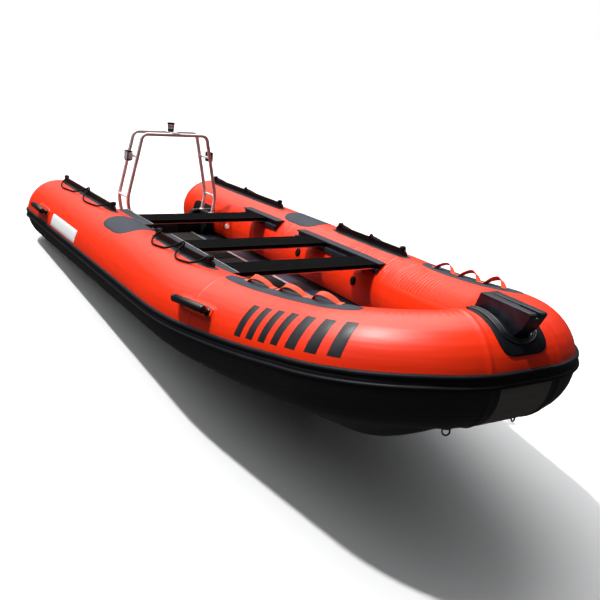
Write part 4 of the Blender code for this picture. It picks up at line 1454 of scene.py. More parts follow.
@dataclass
class FlapSizes:
    """Sizes that the laced flaps share with their cords."""

    spans: Places = (("aft", -1.155, 0.165), ("fore", 0.845, 1.725))
    angle: float = 95.0
    height: float = 0.04
    inset: float = 0.085
    knob_r: float = 0.011
    eye_r: float = 0.0095
    cord_r: float = 0.006


@dataclass
class Lacings(Assembly):
    """Black cord of each flap, looped over the tube from knob to knob through the middle eye."""

    sizes: FlapSizes = field(default_factory=FlapSizes)
    gap: float = 0.0003
    # Share of the way between two posts, angle on the tube, and height over where the cord would lie
    loop: tuple[Colour, ...] = (
        (0.11, 86.0, 0.02), (0.2, 79.0, 0.002), (0.36, 75.0, 0.0), (0.56, 76.5, 0.0), (0.76, 81.0, 0.002),
        (0.9, 86.0, 0.02))
    lie: float = 0.008
    pitch: float = 0.018

    def over_flap(self, x: float, lift: float) -> np.ndarray:
        """Point over the flap's root at X."""
        form, sizes = self.shop.form, self.sizes
        s = form.s_at_x(x)
        root = form.on_tube(s, sizes.angle)
        out = unit(form.on_tube(s, sizes.angle, 0.1) - root)
        return root + unit(out + np.array([0.0, 0.0, 1.0])) * lift

    def knots(self, start: float, end: float) -> np.ndarray:
        """Points that the starboard cord runs through, from the aft knob to the fore one.

        Args:
            start: X of the flap's aft end.
            end: X of its fore end.

        Returns:
            The points in order.
        """
        sizes = self.sizes
        post, eye_x = start + sizes.inset, (start + end) / 2
        rise = sizes.height + sizes.eye_r
        first = self.over_flap(post + sizes.knob_r + 2 * self.gap, rise)
        last = self.over_flap(end - sizes.inset - sizes.knob_r - 3 * self.gap, rise)
        eye = self.over_flap(eye_x, rise)
        along = np.array([0.012, 0.0, 0.0])
        loops = [[self.shop.form.at(x + (eye_x - post) * share, angle, self.lie + height)
                  for share, angle, height in self.loop] for x in (post, eye_x)]
        return np.array([first, first + along, *loops[0], eye - along, eye, eye + along, *loops[1],
                         last - along, last])

    @staticmethod
    def smooth(knots: np.ndarray, pitch: float) -> np.ndarray:
        """Even points on a smooth curve through the knots.

        Args:
            knots: the points it runs through.
            pitch: from point to point.

        Returns:
            The curve's points.
        """
        spans = np.linalg.norm(np.diff(knots, axis=0), axis=1)
        runs = np.diff(knots, axis=0) / spans[:, None]
        slopes = [runs[0]]
        for i in range(1, len(knots) - 1):
            slopes.append((runs[i - 1] * spans[i] + runs[i] * spans[i - 1]) / (spans[i - 1] + spans[i]))
        slopes.append(runs[-1])
        dense = [eased(t, span, knots[i], slopes[i], knots[i + 1], slopes[i + 1])
                 for i, span in enumerate(spans) for t in np.linspace(0.0, 1.0, 12, endpoint=False)]
        dense = np.array([*dense, knots[-1]])
        lengths = run_lengths(dense)
        spots = np.linspace(0.0, lengths[-1], round(lengths[-1] / pitch) + 1)
        return np.column_stack([np.interp(spots, lengths, dense[:, k]) for k in range(3)])

    def build(self) -> None:
        """Makes the four cords."""
        shop, palette, form = self.tools
        radius = self.sizes.cord_r
        for name, start, end in self.sizes.spans:
            for side in Side:
                path = cut_corners(self.smooth(self.knots(start, end) * side.flip, self.pitch))
                shape = Shape()
                shape.rod(path, radius, 12)
                cord = shop.piece(f"cord_{name}_{side}", shape, [palette.cord],
                                  replaces=f"lacing_{name}_{side}")
                route = form.ashore(path)


# The hull

@dataclass
class Tubes(Assembly):
    """Side tubes with their stern domes, and the bow tube, orange above the strake and black below."""

    sides: int = 96
    pitch: float = 0.02
    black_from: float = 201.0
    ridge: float = 0.0048
    ridge_width: float = 0.0075
    panel: float = 0.028
    valves: Pairs = ((0.753, 164.0), (1.445, 168.0))
    cap: Pairs = (
        (0.03, 0.0), (0.03, 0.006), (0.0285, 0.0072), (0.0225, 0.0076), (0.022, 0.0115), (0.0205, 0.0128),
        (0.012, 0.0128), (0.011, 0.0112), (0.001, 0.0112))

    def swell(self, s: np.ndarray) -> np.ndarray:
        """Height of the ridge that stands along the seam."""
        return self.ridge * np.exp(-((s - self.shop.form.seam) / self.ridge_width) ** 2)[:, None]

    def rings(self, stations: np.ndarray, side: Side) -> tuple[np.ndarray, np.ndarray]:
        """Rings at lengths along the axis, which start at the strake, and each place's angle on its ring.

        Args:
            stations: the lengths.
            side: which tube.

        Returns:
            Points and angles by ring and place.
        """
        form = self.shop.form
        start = form.strake_angle(stations)[:, None]
        angles = start + np.linspace(0.0, 360.0, self.sides, endpoint=False)[None]
        return form.on_tube(stations[:, None], angles, self.swell(stations), side), angles

    def band(self, shape: Shape, middle: float, half: float, side: Side) -> None:
        """A tape round the tube above the strake.

        Args:
            shape: where it is added.
            middle: its length along the axis.
            half: half its width.
            side: which tube.
        """
        form = self.shop.form
        columns = np.linspace(float(form.strake_angle(middle)) + 6.0, 196.0, 70)
        rows = middle + half * np.array([-1.0, -0.86, -0.4, 0.0, 0.4, 0.86, 1.0])
        height = np.array([0.1, 1.0, 1.0, 1.0, 1.0, 1.0, 0.1])[:, None] * 0.0009
        s, angle = np.meshgrid(rows, columns, indexing="ij")
        top = form.on_tube(s, angle, height + self.swell(rows), side)
        shape.shell(top, form.on_tube(s, angle, -0.0008, side), form.uv(s, angle))

    def valve(self, shape: Shape, x: float, angle: float, side: Side) -> None:
        """One air valve: a flange, and a cap with a thin ring and eight ribs on its top.

        Args:
            shape: where it is added.
            x: its place along the boat.
            angle: its angle.
            side: which tube.
        """
        form = self.shop.form
        foot = form.at(x, angle, -0.004, side)
        axis, out = spokes(form.at(x, angle, 0.01, side) - foot, np.radians(np.arange(8) * 45.0))
        shape.lathe(foot, axis, self.cap, 40)
        shape.ring(foot + axis * 0.012, axis, 0.016, 0.0012, 8)
        for spoke in out:
            shape.rod([foot + axis * 0.0122 + spoke * reach for reach in (0.0125, 0.0195)], 0.0012, 6)

    def build(self) -> None:
        """Makes the three tubes, their tapes and the valves."""
        shop, palette, form = self.tools
        dome = -form.dome * np.cos(np.radians(np.linspace(2.0, 88.0, 20)))
        run = np.arange(0.0, form.seam - 0.045, self.pitch)
        stations = np.concatenate([dome, run, np.linspace(form.seam - 0.04, form.seam, 12)])
        around = np.linspace(0.0, math.tau * form.tube_r, self.sides + 1)

        def slot(row: int, place: int) -> int:
            """Black from low on the inner side down to the strake."""
            return 1 if angles[row, place] + 180.0 / self.sides > self.black_from else 0

        for side in Side:
            rings, angles = self.rings(stations, side)
            shape = Shape()
            shape.loft(rings, stations, around, slot)
            shop.piece(f"inflated_tube_{side}", shape, [palette.orange, palette.hull_black],
                       replaces=f"tube_{side}", sharp=60.0)
            tapes = Shape()
            for middle, half in ((0.012, 0.02), (form.s_at_x(0.5), 0.0125), (form.s_at_x(1.86), 0.0125)):
                self.band(tapes, middle, half, side)
            shop.patch(tapes, side, form.span(-1.05, 2.95), (150.0, 157.0), 0.0009, 12.0, 0.003)
            shop.piece(f"seam_tape_{side}", tapes, [palette.orange_tape], slot=f"tube_{side}")
            valves = Shape()
            for x, angle in self.valves:
                self.valve(valves, x, angle, side)
            shop.piece(f"air_valve_{side}", valves, [palette.flap], slot="rub_strake")
        half_bow = np.concatenate([np.linspace(form.seam, form.seam + self.panel - 0.006, 8),
                                   np.linspace(form.seam + self.panel, form.end, 9)])
        starboard, angles = self.rings(half_bow, Side.STARBOARD)
        angles = np.concatenate([angles, angles[-2::-1]])
        lengths = np.concatenate([half_bow, 2 * form.end - half_bow[-2::-1]])

        def bow_slot(row: int, place: int) -> int:
            """As on the side tubes, with a scuffed panel across the middle of the black."""
            after = lengths[min(row + 1, len(lengths) - 1)]
            inset = min(lengths[row], 2 * form.end - after) - form.seam
            return slot(row, place) * (2 if inset > self.panel - 0.001 else 1)

        shape = Shape()
        shape.loft(np.concatenate([starboard, starboard[-2::-1] * Side.PORT.flip]), lengths, around, bow_slot)
        shop.piece("inflated_tube_bow", shape, [palette.orange, palette.hull_black, palette.scuffed_black],
                   replaces="tube_bow", sharp=60.0)


@dataclass
class RubStrake(Assembly):
    """Glossy black strip with two ridges, from one stern dome round the bow to the other."""

    aft: float = -0.205
    # Width from the strake's middle and height over the skin
    profile: Pairs = (
        (-0.034, 0.001), (-0.0335, 0.009), (-0.03, 0.015), (-0.024, 0.0162), (-0.0185, 0.015),
        (-0.015, 0.0095), (-0.012, 0.008), (-0.001, 0.0085), (0.001, 0.0066), (0.003, 0.0085),
        (0.01, 0.008), (0.0125, 0.0105), (0.0145, 0.013), (0.02, 0.0136), (0.026, 0.0122),
        (0.03, 0.006), (0.032, 0.001))
    back: Pairs = ((0.031, -0.002), (0.0, -0.002), (-0.033, -0.002))

    def build(self) -> None:
        """Sweeps the profile round both sides and the bow."""
        form = self.shop.form
        across, high = np.concatenate([cut_corners(np.array(self.profile), 1), self.back]).T
        stern = np.linspace(self.aft, 0.0, 18)[:-1]
        half = np.array([*stern, *np.arange(0.0, form.end - 0.01, 0.015), form.end])
        shrink = np.clip((half - self.aft) / 0.05, 0.15, 1.0)[:, None]

        def rows(side: Side) -> np.ndarray:
            """Rings of one side."""
            s = half[:, None]
            scale = shrink / np.maximum(form.radius(s), 0.05)
            angle = form.strake_angle(s) + np.degrees(across[None] * scale)
            return form.on_tube(s, angle, np.where(high[None] > 0, high[None] * shrink, high[None]), side)

        rings = np.concatenate([rows(Side.STARBOARD), rows(Side.PORT)[-2::-1]])
        shape = Shape()
        shape.loft(rings)
        self.shop.piece("rub_strake_strip", shape, [self.shop.palette.strake], replaces="rub_strake")


@dataclass
class Bottom(Assembly):
    """Black fabric bottom with its keel, and the floor inside it with a blue-grey strip on each side."""

    floor_z: float = -0.1
    rise_start: float = 1.9
    bottom_angle: float = 260.0
    keel_half: float = 0.035
    lift: float = 0.0006
    keel_rest: tuple[float, float] = (1.25, 1.65)
    aft_x: float = -0.6322
    fore_x: float = 3.03

    def ground(self, x: float) -> float:
        """Height of the ground under the level hull."""
        form = self.shop.form
        return -form.tube_r - form.slope * (x - form.stern_x)

    def keel(self, x: float) -> float:
        """Height of the keel's underside at X."""
        rest = self.keel_rest
        slope = -self.shop.form.slope
        knots = ((-0.633, -0.29, -0.07), (0.4, -0.405, -0.15), (rest[0], self.ground(rest[0]), slope),
                 (rest[1], self.ground(rest[1]), slope), (2.15, -0.558, 0.16), (2.5, -0.452, 0.47),
                 (2.75, -0.312, 0.62), (3.02, -0.12, 0.75))
        i = min(max(int(np.searchsorted([k[0] for k in knots], x)) - 1, 0), len(knots) - 2)
        (x0, z0, slope0), (x1, z1, slope1) = knots[i], knots[i + 1]
        return eased((x - x0) / (x1 - x0), x1 - x0, z0, slope0, z1, slope1)

    def build(self) -> None:
        """Lofts the bottom and colours its floor."""
        shop, palette, form = self.tools
        stations = [*np.arange(*form.span(self.aft_x, self.fore_x), 0.03), form.s_at_y(0.085)]
        rings = []
        for s in stations:
            centre = form.centre(s)
            rise = max(0.0, (centre[0] - self.rise_start) / (form.bow_x - self.rise_start))
            floor = self.floor_z + 0.8 * form.bow_sheer * rise ** 1.5
            meet = 180.0 + math.degrees(math.asin((centre[2] - floor) / (form.tube_r + self.lift)))
            right = form.on_tube(s, np.linspace(meet, self.bottom_angle, 16), self.lift)
            x, inner, chine = right[-1][0], abs(right[0][1]), right[-1][2]
            keel = min(self.keel(x), chine - 0.004)
            half = min(self.keel_half, abs(right[-1][1]) * 0.6)
            shoulder = min(0.085, abs(right[-1][1]) * 0.8)
            high = keel + min(0.045, (chine - keel) * 0.5)
            left = right[::-1] * Side.PORT.flip
            belly = cut_corners(np.array([right[-1], (x, -shoulder, high), (x, -half, keel), (x, half, keel),
                                          (x, shoulder, high), left[0]]))
            floor_row = [(x, inner * share, floor) for share in (0.86, 0.7, 0.5, 0.0, -0.5, -0.7, -0.86)]
            rings.append(np.concatenate([right[:-1], belly, left[1:], floor_row]))
        rings = np.array(rings)
        columns = rings.shape[1]

        def slot(_row: int, place: int) -> int:
            """Floor faces: blue-grey at a third of the way in, black elsewhere."""
            step = columns - 1 - place
            if step > 7:
                return 0
            return 1 if step in (1, 2, 5, 6) else 2

        shape = Shape()
        shape.loft(rings, slot=slot)
        shop.piece("fabric_bottom", shape, [palette.hull_black, palette.floor_blue, palette.rubber],
                   replaces="hull_bottom", sharp=50.0)


@dataclass
class Transom(Assembly):
    """Coated transom board and knees, with moulding, clamp pads, drains, towing eyes and tube flanges."""

    x: float = -0.655
    thick: float = 0.045
    top: float = 0.1
    top_half: float = 0.452
    notch_z: float = 0.03
    notch_half: float = 0.22
    notch_slant: float = 0.045
    drain: tuple[float, float] = (0.18, -0.185)
    eye: tuple[float, float] = (0.33, 0.0125)

    def build(self) -> None:
        """Rounds the boards and adds what is fixed to them."""
        shop, palette, _ = self.tools
        shop.rounded("transom", "transom_board", palette.board, 0.004)
        for side in Side:
            shop.rounded(f"transom_knee_{side}", f"knee_board_{side}", palette.board, 0.005)
        edge = [(-self.top_half, self.top), (-self.notch_half - self.notch_slant, self.top),
                (-self.notch_half, self.notch_z)]
        edge += [(-y, z) for y, z in edge[::-1]]
        half = self.thick / 2 + 0.003
        section = [(-half, -0.016), (-half, 0.0), (-half + 0.004, 0.004), (half - 0.004, 0.004), (half, 0.0),
                   (half, -0.016), (half - 0.003, -0.016), (half - 0.003, -0.0005), (-half + 0.003, -0.0005),
                   (-half + 0.003, -0.016)]
        trim = Shape()
        trim.sweep(rounded_path([(self.x, y, z) for y, z in edge], 0.018, 7),
                   np.array(section) * np.array([1.0, -1.0]), first=(1.0, 0.0, 0.0))
        shop.piece("transom_edge_moulding", trim, [palette.rubber], slot="transom")
        pads, drains, eyes = Shape(), Shape(), Shape()
        for out in (-1, 1):
            low, high = sorted(self.x + out * (self.thick / 2 + deep) for deep in (0.0005, 0.006))
            pads.block((low, -0.125, -0.135), (high, 0.125, 0.008), 0.0025)
        shop.piece("engine_clamp_pad", pads, [palette.ribbed], slot="transom")
        aft = self.x - self.thick / 2
        spots = [(aft - 0.007, y, z) for y in (-0.105, 0.105) for z in (-0.115, -0.012)]
        for sign in (-1, 1):
            drains.lathe((aft + 0.001, sign * self.drain[0], self.drain[1]), (-1, 0, 0),
                         [(0.026, 0.0), (0.026, 0.004), (0.019, 0.0055), (0.018, 0.012), (0.01, 0.013),
                          (0.001, 0.011)])
            y, z = sign * self.eye[0], self.eye[1]
            eyes.block((aft - 0.005, y - 0.024, z - 0.0325), (aft, y + 0.024, z + 0.0325))
            eyes.ring((aft - 0.006, y, z), (0, 1, 0), 0.021, 0.0045, 10, 20, turn=(90.0, 270.0))
            spots += [(aft - 0.006, y + dy, z + dz) for dy in (-0.015, 0.015) for dz in (-0.022, 0.022)]
        shop.piece("drain_plug", drains, [palette.rubber], slot="transom")
        shop.piece("towing_eye", eyes, [palette.steel], slot="light_arch")
        shop.bolts("transom_bolts", spots, (-1, 0, 0), 0.007, 0.005)
        for side in Side:
            self.flange(side)

    def flange(self, side: Side) -> None:
        """A black fabric flange that bonds the transom to a tube, and a fairlead ahead of it."""
        shop, palette, form = self.tools
        flange = Shape()
        shop.patch(flange, side, form.span(-1.03, -0.615), (152.0, 204.0), 0.0016, 7.0)
        shop.piece(f"transom_flange_{side}", flange, [palette.rubber], slot="hull_bottom")
        lead = Shape()
        foot = form.at(-0.34, 176.0, 0.0, side)
        out = unit(form.at(-0.34, 176.0, 0.1, side) - foot)
        upright = Vector((0, 0, 1)).rotation_difference(Vector(out)).to_matrix().to_4x4()
        lead.block((-0.03, -0.014, -0.001), (0.03, 0.014, 0.004), 0.0015,
                   turn=Matrix.Translation(foot) @ upright)
        lead.ring(foot + out * 0.003, np.cross(out, (0.0, 0.0, 1.0)), 0.018, 0.0035, 10, 18)
        shop.piece(f"fairlead_{side}", lead, [palette.steel], slot="light_arch")


@dataclass
class Deck(Assembly):
    """Ribbed deck panels between two anodised stringers."""

    aft: float = -0.5869
    fore: float = 1.75
    half: float = 0.225
    top: float = -0.077
    rib: float = 0.0055
    rib_pitch: float = 0.0118
    rise: float = 0.0014

    def build(self) -> None:
        """Lays ribs on the three panels and screws along the stringers."""
        shop, palette, _ = self.tools
        length = (self.fore - self.aft) / 3
        count = int((2 * self.half - 0.024) / self.rib_pitch) + 1
        for number, name in enumerate(("aft", "middle", "fore")):
            panel = f"deck_panel_{name}"
            shop.dress(panel, palette.deck)
            start = (self.aft + number * length + 0.01, -self.rib_pitch * (count - 1) / 2, self.top)
            values = {"Start": start, "Span": (length - 0.02, 0.0, 0.0), "Step": (0.0, self.rib_pitch, 0.0),
                      "Count": count, "Width": self.rib, "Rise": self.rise}
            shop.ribs(f"deck_ribs_{name}", values, palette.deck, panel)
        for side in Side:
            shop.dress(f"deck_stringer_{side}", palette.aluminium)
        spots = [(x, side.value * (self.half + 0.009), self.top + 0.0046)
                 for side in Side for x in np.arange(self.aft + 0.06, self.fore - 0.03, 0.145)]
        shop.bolts("stringer_screws", spots, (0, 0, 1), 0.0042, 0.0016)


@dataclass
class Thwarts(Assembly):
    """Three sliding thwarts: gritty ribbed boards with nosings along their long edges."""

    length: float = 0.972
    width: float = 0.2115
    thick: float = 0.026
    top: float = 0.202
    places: tuple[tuple[str, float], ...] = (("aft", 0.0), ("middle", 0.824), ("fore", 1.401))
    clear_half: float = 0.458
    rib_pitch: float = 0.0096
    # Distance out from the board's edge and height over its top
    nosing: Pairs = (
        (-0.009, 0.0002), (-0.009, 0.0014), (0.0006, 0.0014), (0.0018, 0.0), (0.0018, -0.022),
        (0.0002, -0.023), (-0.0012, -0.003))
    lip: Pairs = (
        (-0.001, -0.0266), (0.0026, -0.0266), (0.0026, -0.0226), (-0.001, -0.0226))

    def build(self) -> None:
        """Makes each board with its ribs and nosings, riding on its own slide."""
        shop, palette, _ = self.tools
        count = int((self.width - 0.03) / self.rib_pitch) + 1
        for name, x in self.places:
            body, seat = f"thwart_{name}", f"seat_{name}"
            shape = Shape()
            half, low = self.length / 2, self.top - self.thick
            shape.block((x, -half, low), (x + self.width, half, self.top), 0.0035, segments=3)
            shop.piece(f"thwart_board_{name}", shape, [palette.seat], body, replaces=seat)
            start = (x + self.width / 2 - self.rib_pitch * (count - 1) / 2, -self.clear_half, self.top)
            values = {"Start": start, "Span": (0.0, 2 * self.clear_half, 0.0), "Count": count,
                      "Step": (self.rib_pitch, 0.0, 0.0), "Width": 0.0052, "Rise": 0.0011}
            shop.ribs(f"thwart_ribs_{name}", values, palette.seat, seat, body)
            strips = Shape()
            for edge, out in ((x, -1), (x + self.width, 1)):
                for slot, profile in enumerate((self.nosing, self.lip)):
                    strips.loft(np.array([[(edge + out * far, y, self.top + high) for far, high in profile]
                                          for y in (-self.clear_half, self.clear_half)]), slot=slot)
            shop.piece(f"thwart_nosing_{name}", strips, [palette.seat, palette.aluminium], body, slot=seat)


@dataclass
class Rails(Assembly):
    """Grooved rails on the tubes' inner sides, with a wear strip along each lip: both strips are aluminium,
    and the port one is drawn in the dark rail finish as painted shade.
    """

    spans: Places = (("aft", -0.16, 0.372), ("fore", 0.665, 1.64))
    # Y and Z of the strip's section
    strip: Pairs = (
        (0.4732, 0.2104), (0.4732, 0.2119), (0.4788, 0.2119), (0.4788, 0.2104))

    def build(self) -> None:
        """Rounds each rail and lays its strip."""
        shop, palette, _ = self.tools
        for name, start, end in self.spans:
            for side in Side:
                label = f"rail_{name}_{side}"
                shop.rounded(f"seat_{label}", f"thwart_{label}", palette.rail, 0.0016, 2)
                strip = Shape()
                strip.loft(np.array([[(x, side.value * y, z) for y, z in self.strip]
                                     for x in np.linspace(start + 0.012, end - 0.012, 30)]))
                # The port strip is the same aluminium as the starboard one; its dark rail finish is painted
                # shade
                finish = palette.aluminium if side is Side.STARBOARD else palette.rail
                shop.piece(f"rail_strip_{name}_{side}", strip, [finish], slot="deck_stringer_starboard")


@dataclass
class Arch(Assembly):
    """Stainless light arch: two bent hoops, rungs, feet, a top plate, an all-round light and two lamps."""

    aft_x: float = -0.655
    fore_x: float = -0.46
    tube_r: float = 0.0135
    foot: tuple[float, float] = (0.346, 0.1053)
    knee: tuple[float, float] = (0.369, 0.228)
    corner: tuple[float, float] = (0.262, 0.72)
    lamp_z: float = 0.547
    foot_z: float = 0.1003
    light: Pairs = (
        (0.022, 0.0), (0.0222, 0.006), (0.0246, 0.014), (0.0262, 0.021), (0.0262, 0.0235), (0.025, 0.0242),
        (0.0254, 0.03), (0.0258, 0.0345), (0.0262, 0.039), (0.0264, 0.047), (0.0264, 0.0555),
        (0.0282, 0.0562), (0.0288, 0.058), (0.0288, 0.067), (0.027, 0.0695), (0.015, 0.0708),
        (0.001, 0.071))

    @property
    def middle_x(self) -> float:
        """X half-way between the hoops."""
        return (self.aft_x + self.fore_x) / 2

    @property
    def lamp_y(self) -> float:
        """Y of the leg at the lamps' height."""
        share = (self.lamp_z - self.knee[1]) / (self.corner[1] - self.knee[1])
        return self.knee[0] + (self.corner[0] - self.knee[0]) * share

    def build(self) -> None:
        """Bends the hoops and fits the rest."""
        shop, palette, _ = self.tools
        shape = Shape()
        spots = []
        for x in (self.aft_x, self.fore_x):
            half = [(x, y, z) for y, z in (self.foot, self.knee, self.corner)]
            path = rounded_path(half + [(x, -y, z) for x, y, z in half[::-1]], 0.045, 14)
            shape.rod(path, self.tube_r, 24, end=End.FLAT, first=(1.0, 0.0, 0.0))
            plate_r = 0.028 if x == self.fore_x else 0.022
            for sign in (-1, 1):
                centre = np.array([x, sign * self.foot[0], self.foot_z])
                shape.lathe(centre, (0, 0, 1), [(plate_r, 0.0), (plate_r, 0.0045), (plate_r - 0.0015, 0.006),
                                                (0.0175, 0.0062), (0.015, 0.0085), (0.014, 0.012)], 36)
                _, out = spokes((0, 0, 1), np.radians((30.0, 150.0, 270.0)))
                spots += [tuple(centre + (plate_r - 0.0062) * spoke + (0.0, 0.0, 0.0068)) for spoke in out]
        for sign in (-1, 1):
            for y, z in ((self.knee[0] - 0.002, self.knee[1] + 0.012), (self.lamp_y, self.lamp_z)):
                shape.rod([(self.aft_x, sign * y, z), (self.fore_x, sign * y, z)], 0.009, 18, end=End.FLAT)
                for x in (self.aft_x + self.tube_r - 0.001, self.fore_x - self.tube_r + 0.001):
                    shape.ring((x, sign * y, z), (1, 0, 0), 0.0095, 0.0018, 8, 24)
        plate_z = self.corner[1] + self.tube_r - 0.002
        shape.block((self.aft_x - 0.01, -0.03, plate_z), (self.fore_x + 0.01, 0.03, plate_z + 0.004),
                    0.0012)
        shop.piece("arch_tubes", shape, [palette.steel], replaces="light_arch", sharp=50.0)
        spots += [(x, y, plate_z + 0.0045) for x in (self.aft_x, self.fore_x) for y in (-0.022, 0.022)]
        shop.bolts("arch_bolts", spots, (0, 0, 1), 0.0042, 0.0034)
        self.all_round(plate_z + 0.0043)
        for side in Side:
            self.lamp(side)

    def all_round(self, z: float) -> None:
        """The light on top: a flared black foot, a banded lens and a wide cap."""
        shop, palette, _ = self.tools

        def slot(row: int, _place: int) -> int:
            """Foot and cap black, lens banded red and clear."""
            if row < 5 or row > 9:
                return 0
            return 2 if row in (6, 8) else 1

        shape = Shape()
        shape.lathe((self.middle_x, 0.0, z), (0, 0, 1), self.light, 44, slot)
        shop.piece("all_round_light_body", shape, [palette.gloss, palette.clear_lens, palette.red_lens],
                   replaces="all_round_light")

    def lamp(self, side: Side) -> None:
        """A square lamp that faces outboard, with cooling ribs on its back."""
        shop, palette, _ = self.tools
        half_x, half_y, half_z, rim = 0.036, 0.024, 0.038, 0.007
        middle = np.array([self.middle_x, side.value * (self.lamp_y + 0.0093 + half_y), self.lamp_z])
        shape = Shape()

        def box(xs: tuple[float, float], depths: tuple[float, float], zs: tuple[float, float], bevel: float,
                slot: int = 0, segments: int = 2) -> None:
            """A block of the lamp, with depths from its middle towards outboard."""
            ys = sorted(side.value * depth for depth in depths)
            low, high = (middle + corner for corner in zip(xs, ys, zs))
            shape.block(low, high, bevel, slot, segments=segments)

        wide, tall = (-half_x, half_x), (-half_z, half_z)
        box(wide, (-0.01, half_y - 0.004), tall, 0.005, segments=3)
        for xs, zs in ((wide, (-half_z, -half_z + rim)), (wide, (half_z - rim, half_z)),
                       ((-half_x, -half_x + rim), tall), ((half_x - rim, half_x), tall)):
            box(xs, (half_y - 0.006, half_y), zs, 0.0018)
        glass_x, glass_z = half_x - rim + 0.001, half_z - rim + 0.001
        box((-glass_x, glass_x), (half_y - 0.006, half_y - 0.0015), (-glass_z, glass_z), 0.0015, 1)
        if side is Side.STARBOARD:
            box((half_x - 0.003, half_x + 0.0015), (0.015, -0.017), (-0.026, 0.026), 0.0015, 1)
        for z in (-0.03, -0.02, -0.01, 0.0, 0.01, 0.02, 0.03):
            box((-0.03, 0.03), (-half_y + 0.003, -0.009), (z - 0.0022, z + 0.0022), 0.001)
        box((-0.012, 0.012), (-half_y, -half_y + 0.005), (-0.012, 0.012), 0.0015)
        shop.piece(f"side_lamp_{side}", shape, [palette.gloss, palette.clear_lens],
                   replaces=f"lamp_{side}")


@dataclass
class BowFittings(Assembly):
    """Bow patch with its raised ribs, the grooved chock on it and the towing rings under the bow."""

    middle: float = 69.0
    reach: float = 40.0
    half: float = 0.128
    taper: float = 0.01
    power: float = 4.5
    rim: float = 0.006
    thick: float = 0.004
    # Half width, radius and height of each rib round the chock
    ribs: tuple[Colour, ...] = ((0.098, 0.0062, 0.005), (0.0855, 0.0046, 0.0065), (0.074, 0.0062, 0.007))
    rib_angles: tuple[float, float] = (103.0, 54.0)
    rib_nose: float = 143.0
    ring_y: float = 0.2
    ring_angle: float = -80.0

    def build(self) -> None:
        """Lays the patch, bends the ribs round the chock and rounds the chock."""
        shop, palette, form = self.tools
        share = oval(41, self.power)
        width = (self.half - self.taper * share) * oval_width(share, self.power)
        columns, stand = sloped_rim(share, width, math.radians(self.reach) * form.tube_r, self.rim, 13)
        y = width[:, None] * columns
        angle = np.broadcast_to((self.middle + self.reach * share)[:, None], y.shape)
        patch = Shape()
        patch.shell(form.bow_arc(angle, y, self.thick * (0.25 + 0.75 * stand) + 0.0012),
                    form.bow_arc(angle, y, -0.001), np.stack([np.radians(angle) * form.tube_r, y], axis=-1))
        shop.piece("bow_patch_pad", patch, [palette.navy], replaces="bow_patch")
        ribs = Shape()
        for half, radius, lift in self.ribs:
            ribs.rod(self.round_chock(half, lift), radius, 10)
        shop.piece("bow_patch_ribs", ribs, [palette.rib], slot="bow_patch")
        shop.rounded("bow_chock", "chock_block", palette.chock, 0.0045)
        for side in Side:
            self.tow_ring(side)

    def round_chock(self, half: float, lift: float) -> np.ndarray:
        """A line on the patch up one side of the chock, round its front and back along the other."""
        aft, front = self.rib_angles
        legs = np.linspace(aft, front, 16)
        turn = np.radians(np.linspace(0.0, 180.0, 25))[1:-1]
        angle = np.concatenate([legs, front - self.rib_nose * half * np.sin(turn), legs[::-1]])
        y = np.concatenate([np.full(16, -half), -half * np.cos(turn), np.full(16, half)])
        return self.shop.form.bow_arc(angle, y, lift)

    def tow_ring(self, side: Side) -> None:
        """A round patch, a webbing tab and a ring, under the bow."""
        shop, palette, form = self.tools
        s, angle = form.s_at_y(self.ring_y), self.ring_angle
        shape = Shape()
        shop.patch(shape, side, (s - 0.045, s + 0.045), (angle - 9.0, angle + 9.0), 0.0045, 2.6)
        root, over, ahead = (form.on_tube(s + far, angle, lift, side)
                             for far, lift in ((0.0, 0.002), (0.0, 0.03), (0.01, 0.002)))
        down, along = unit(over - root), unit(ahead - root)
        across = np.cross(down, along)
        shape.ring(root + down * 0.02, across, 0.018, 0.004, 12, 32, 1)
        tab = [root + across * (0.03 * math.cos(t)) + down * (0.0035 + 0.0055 * math.sin(t))
               for t in np.linspace(0.0, math.pi, 15)]
        section = [(-0.012, -0.0012), (0.012, -0.0012), (0.012, 0.0012), (-0.012, 0.0012)]
        shape.sweep(np.array(tab), np.array(section), first=along, slot=2)
        shop.piece(f"tow_ring_set_{side}", shape, [palette.navy, palette.gloss, palette.black_webbing],
                   replaces=f"tow_ring_{side}")


# Fittings on the tubes

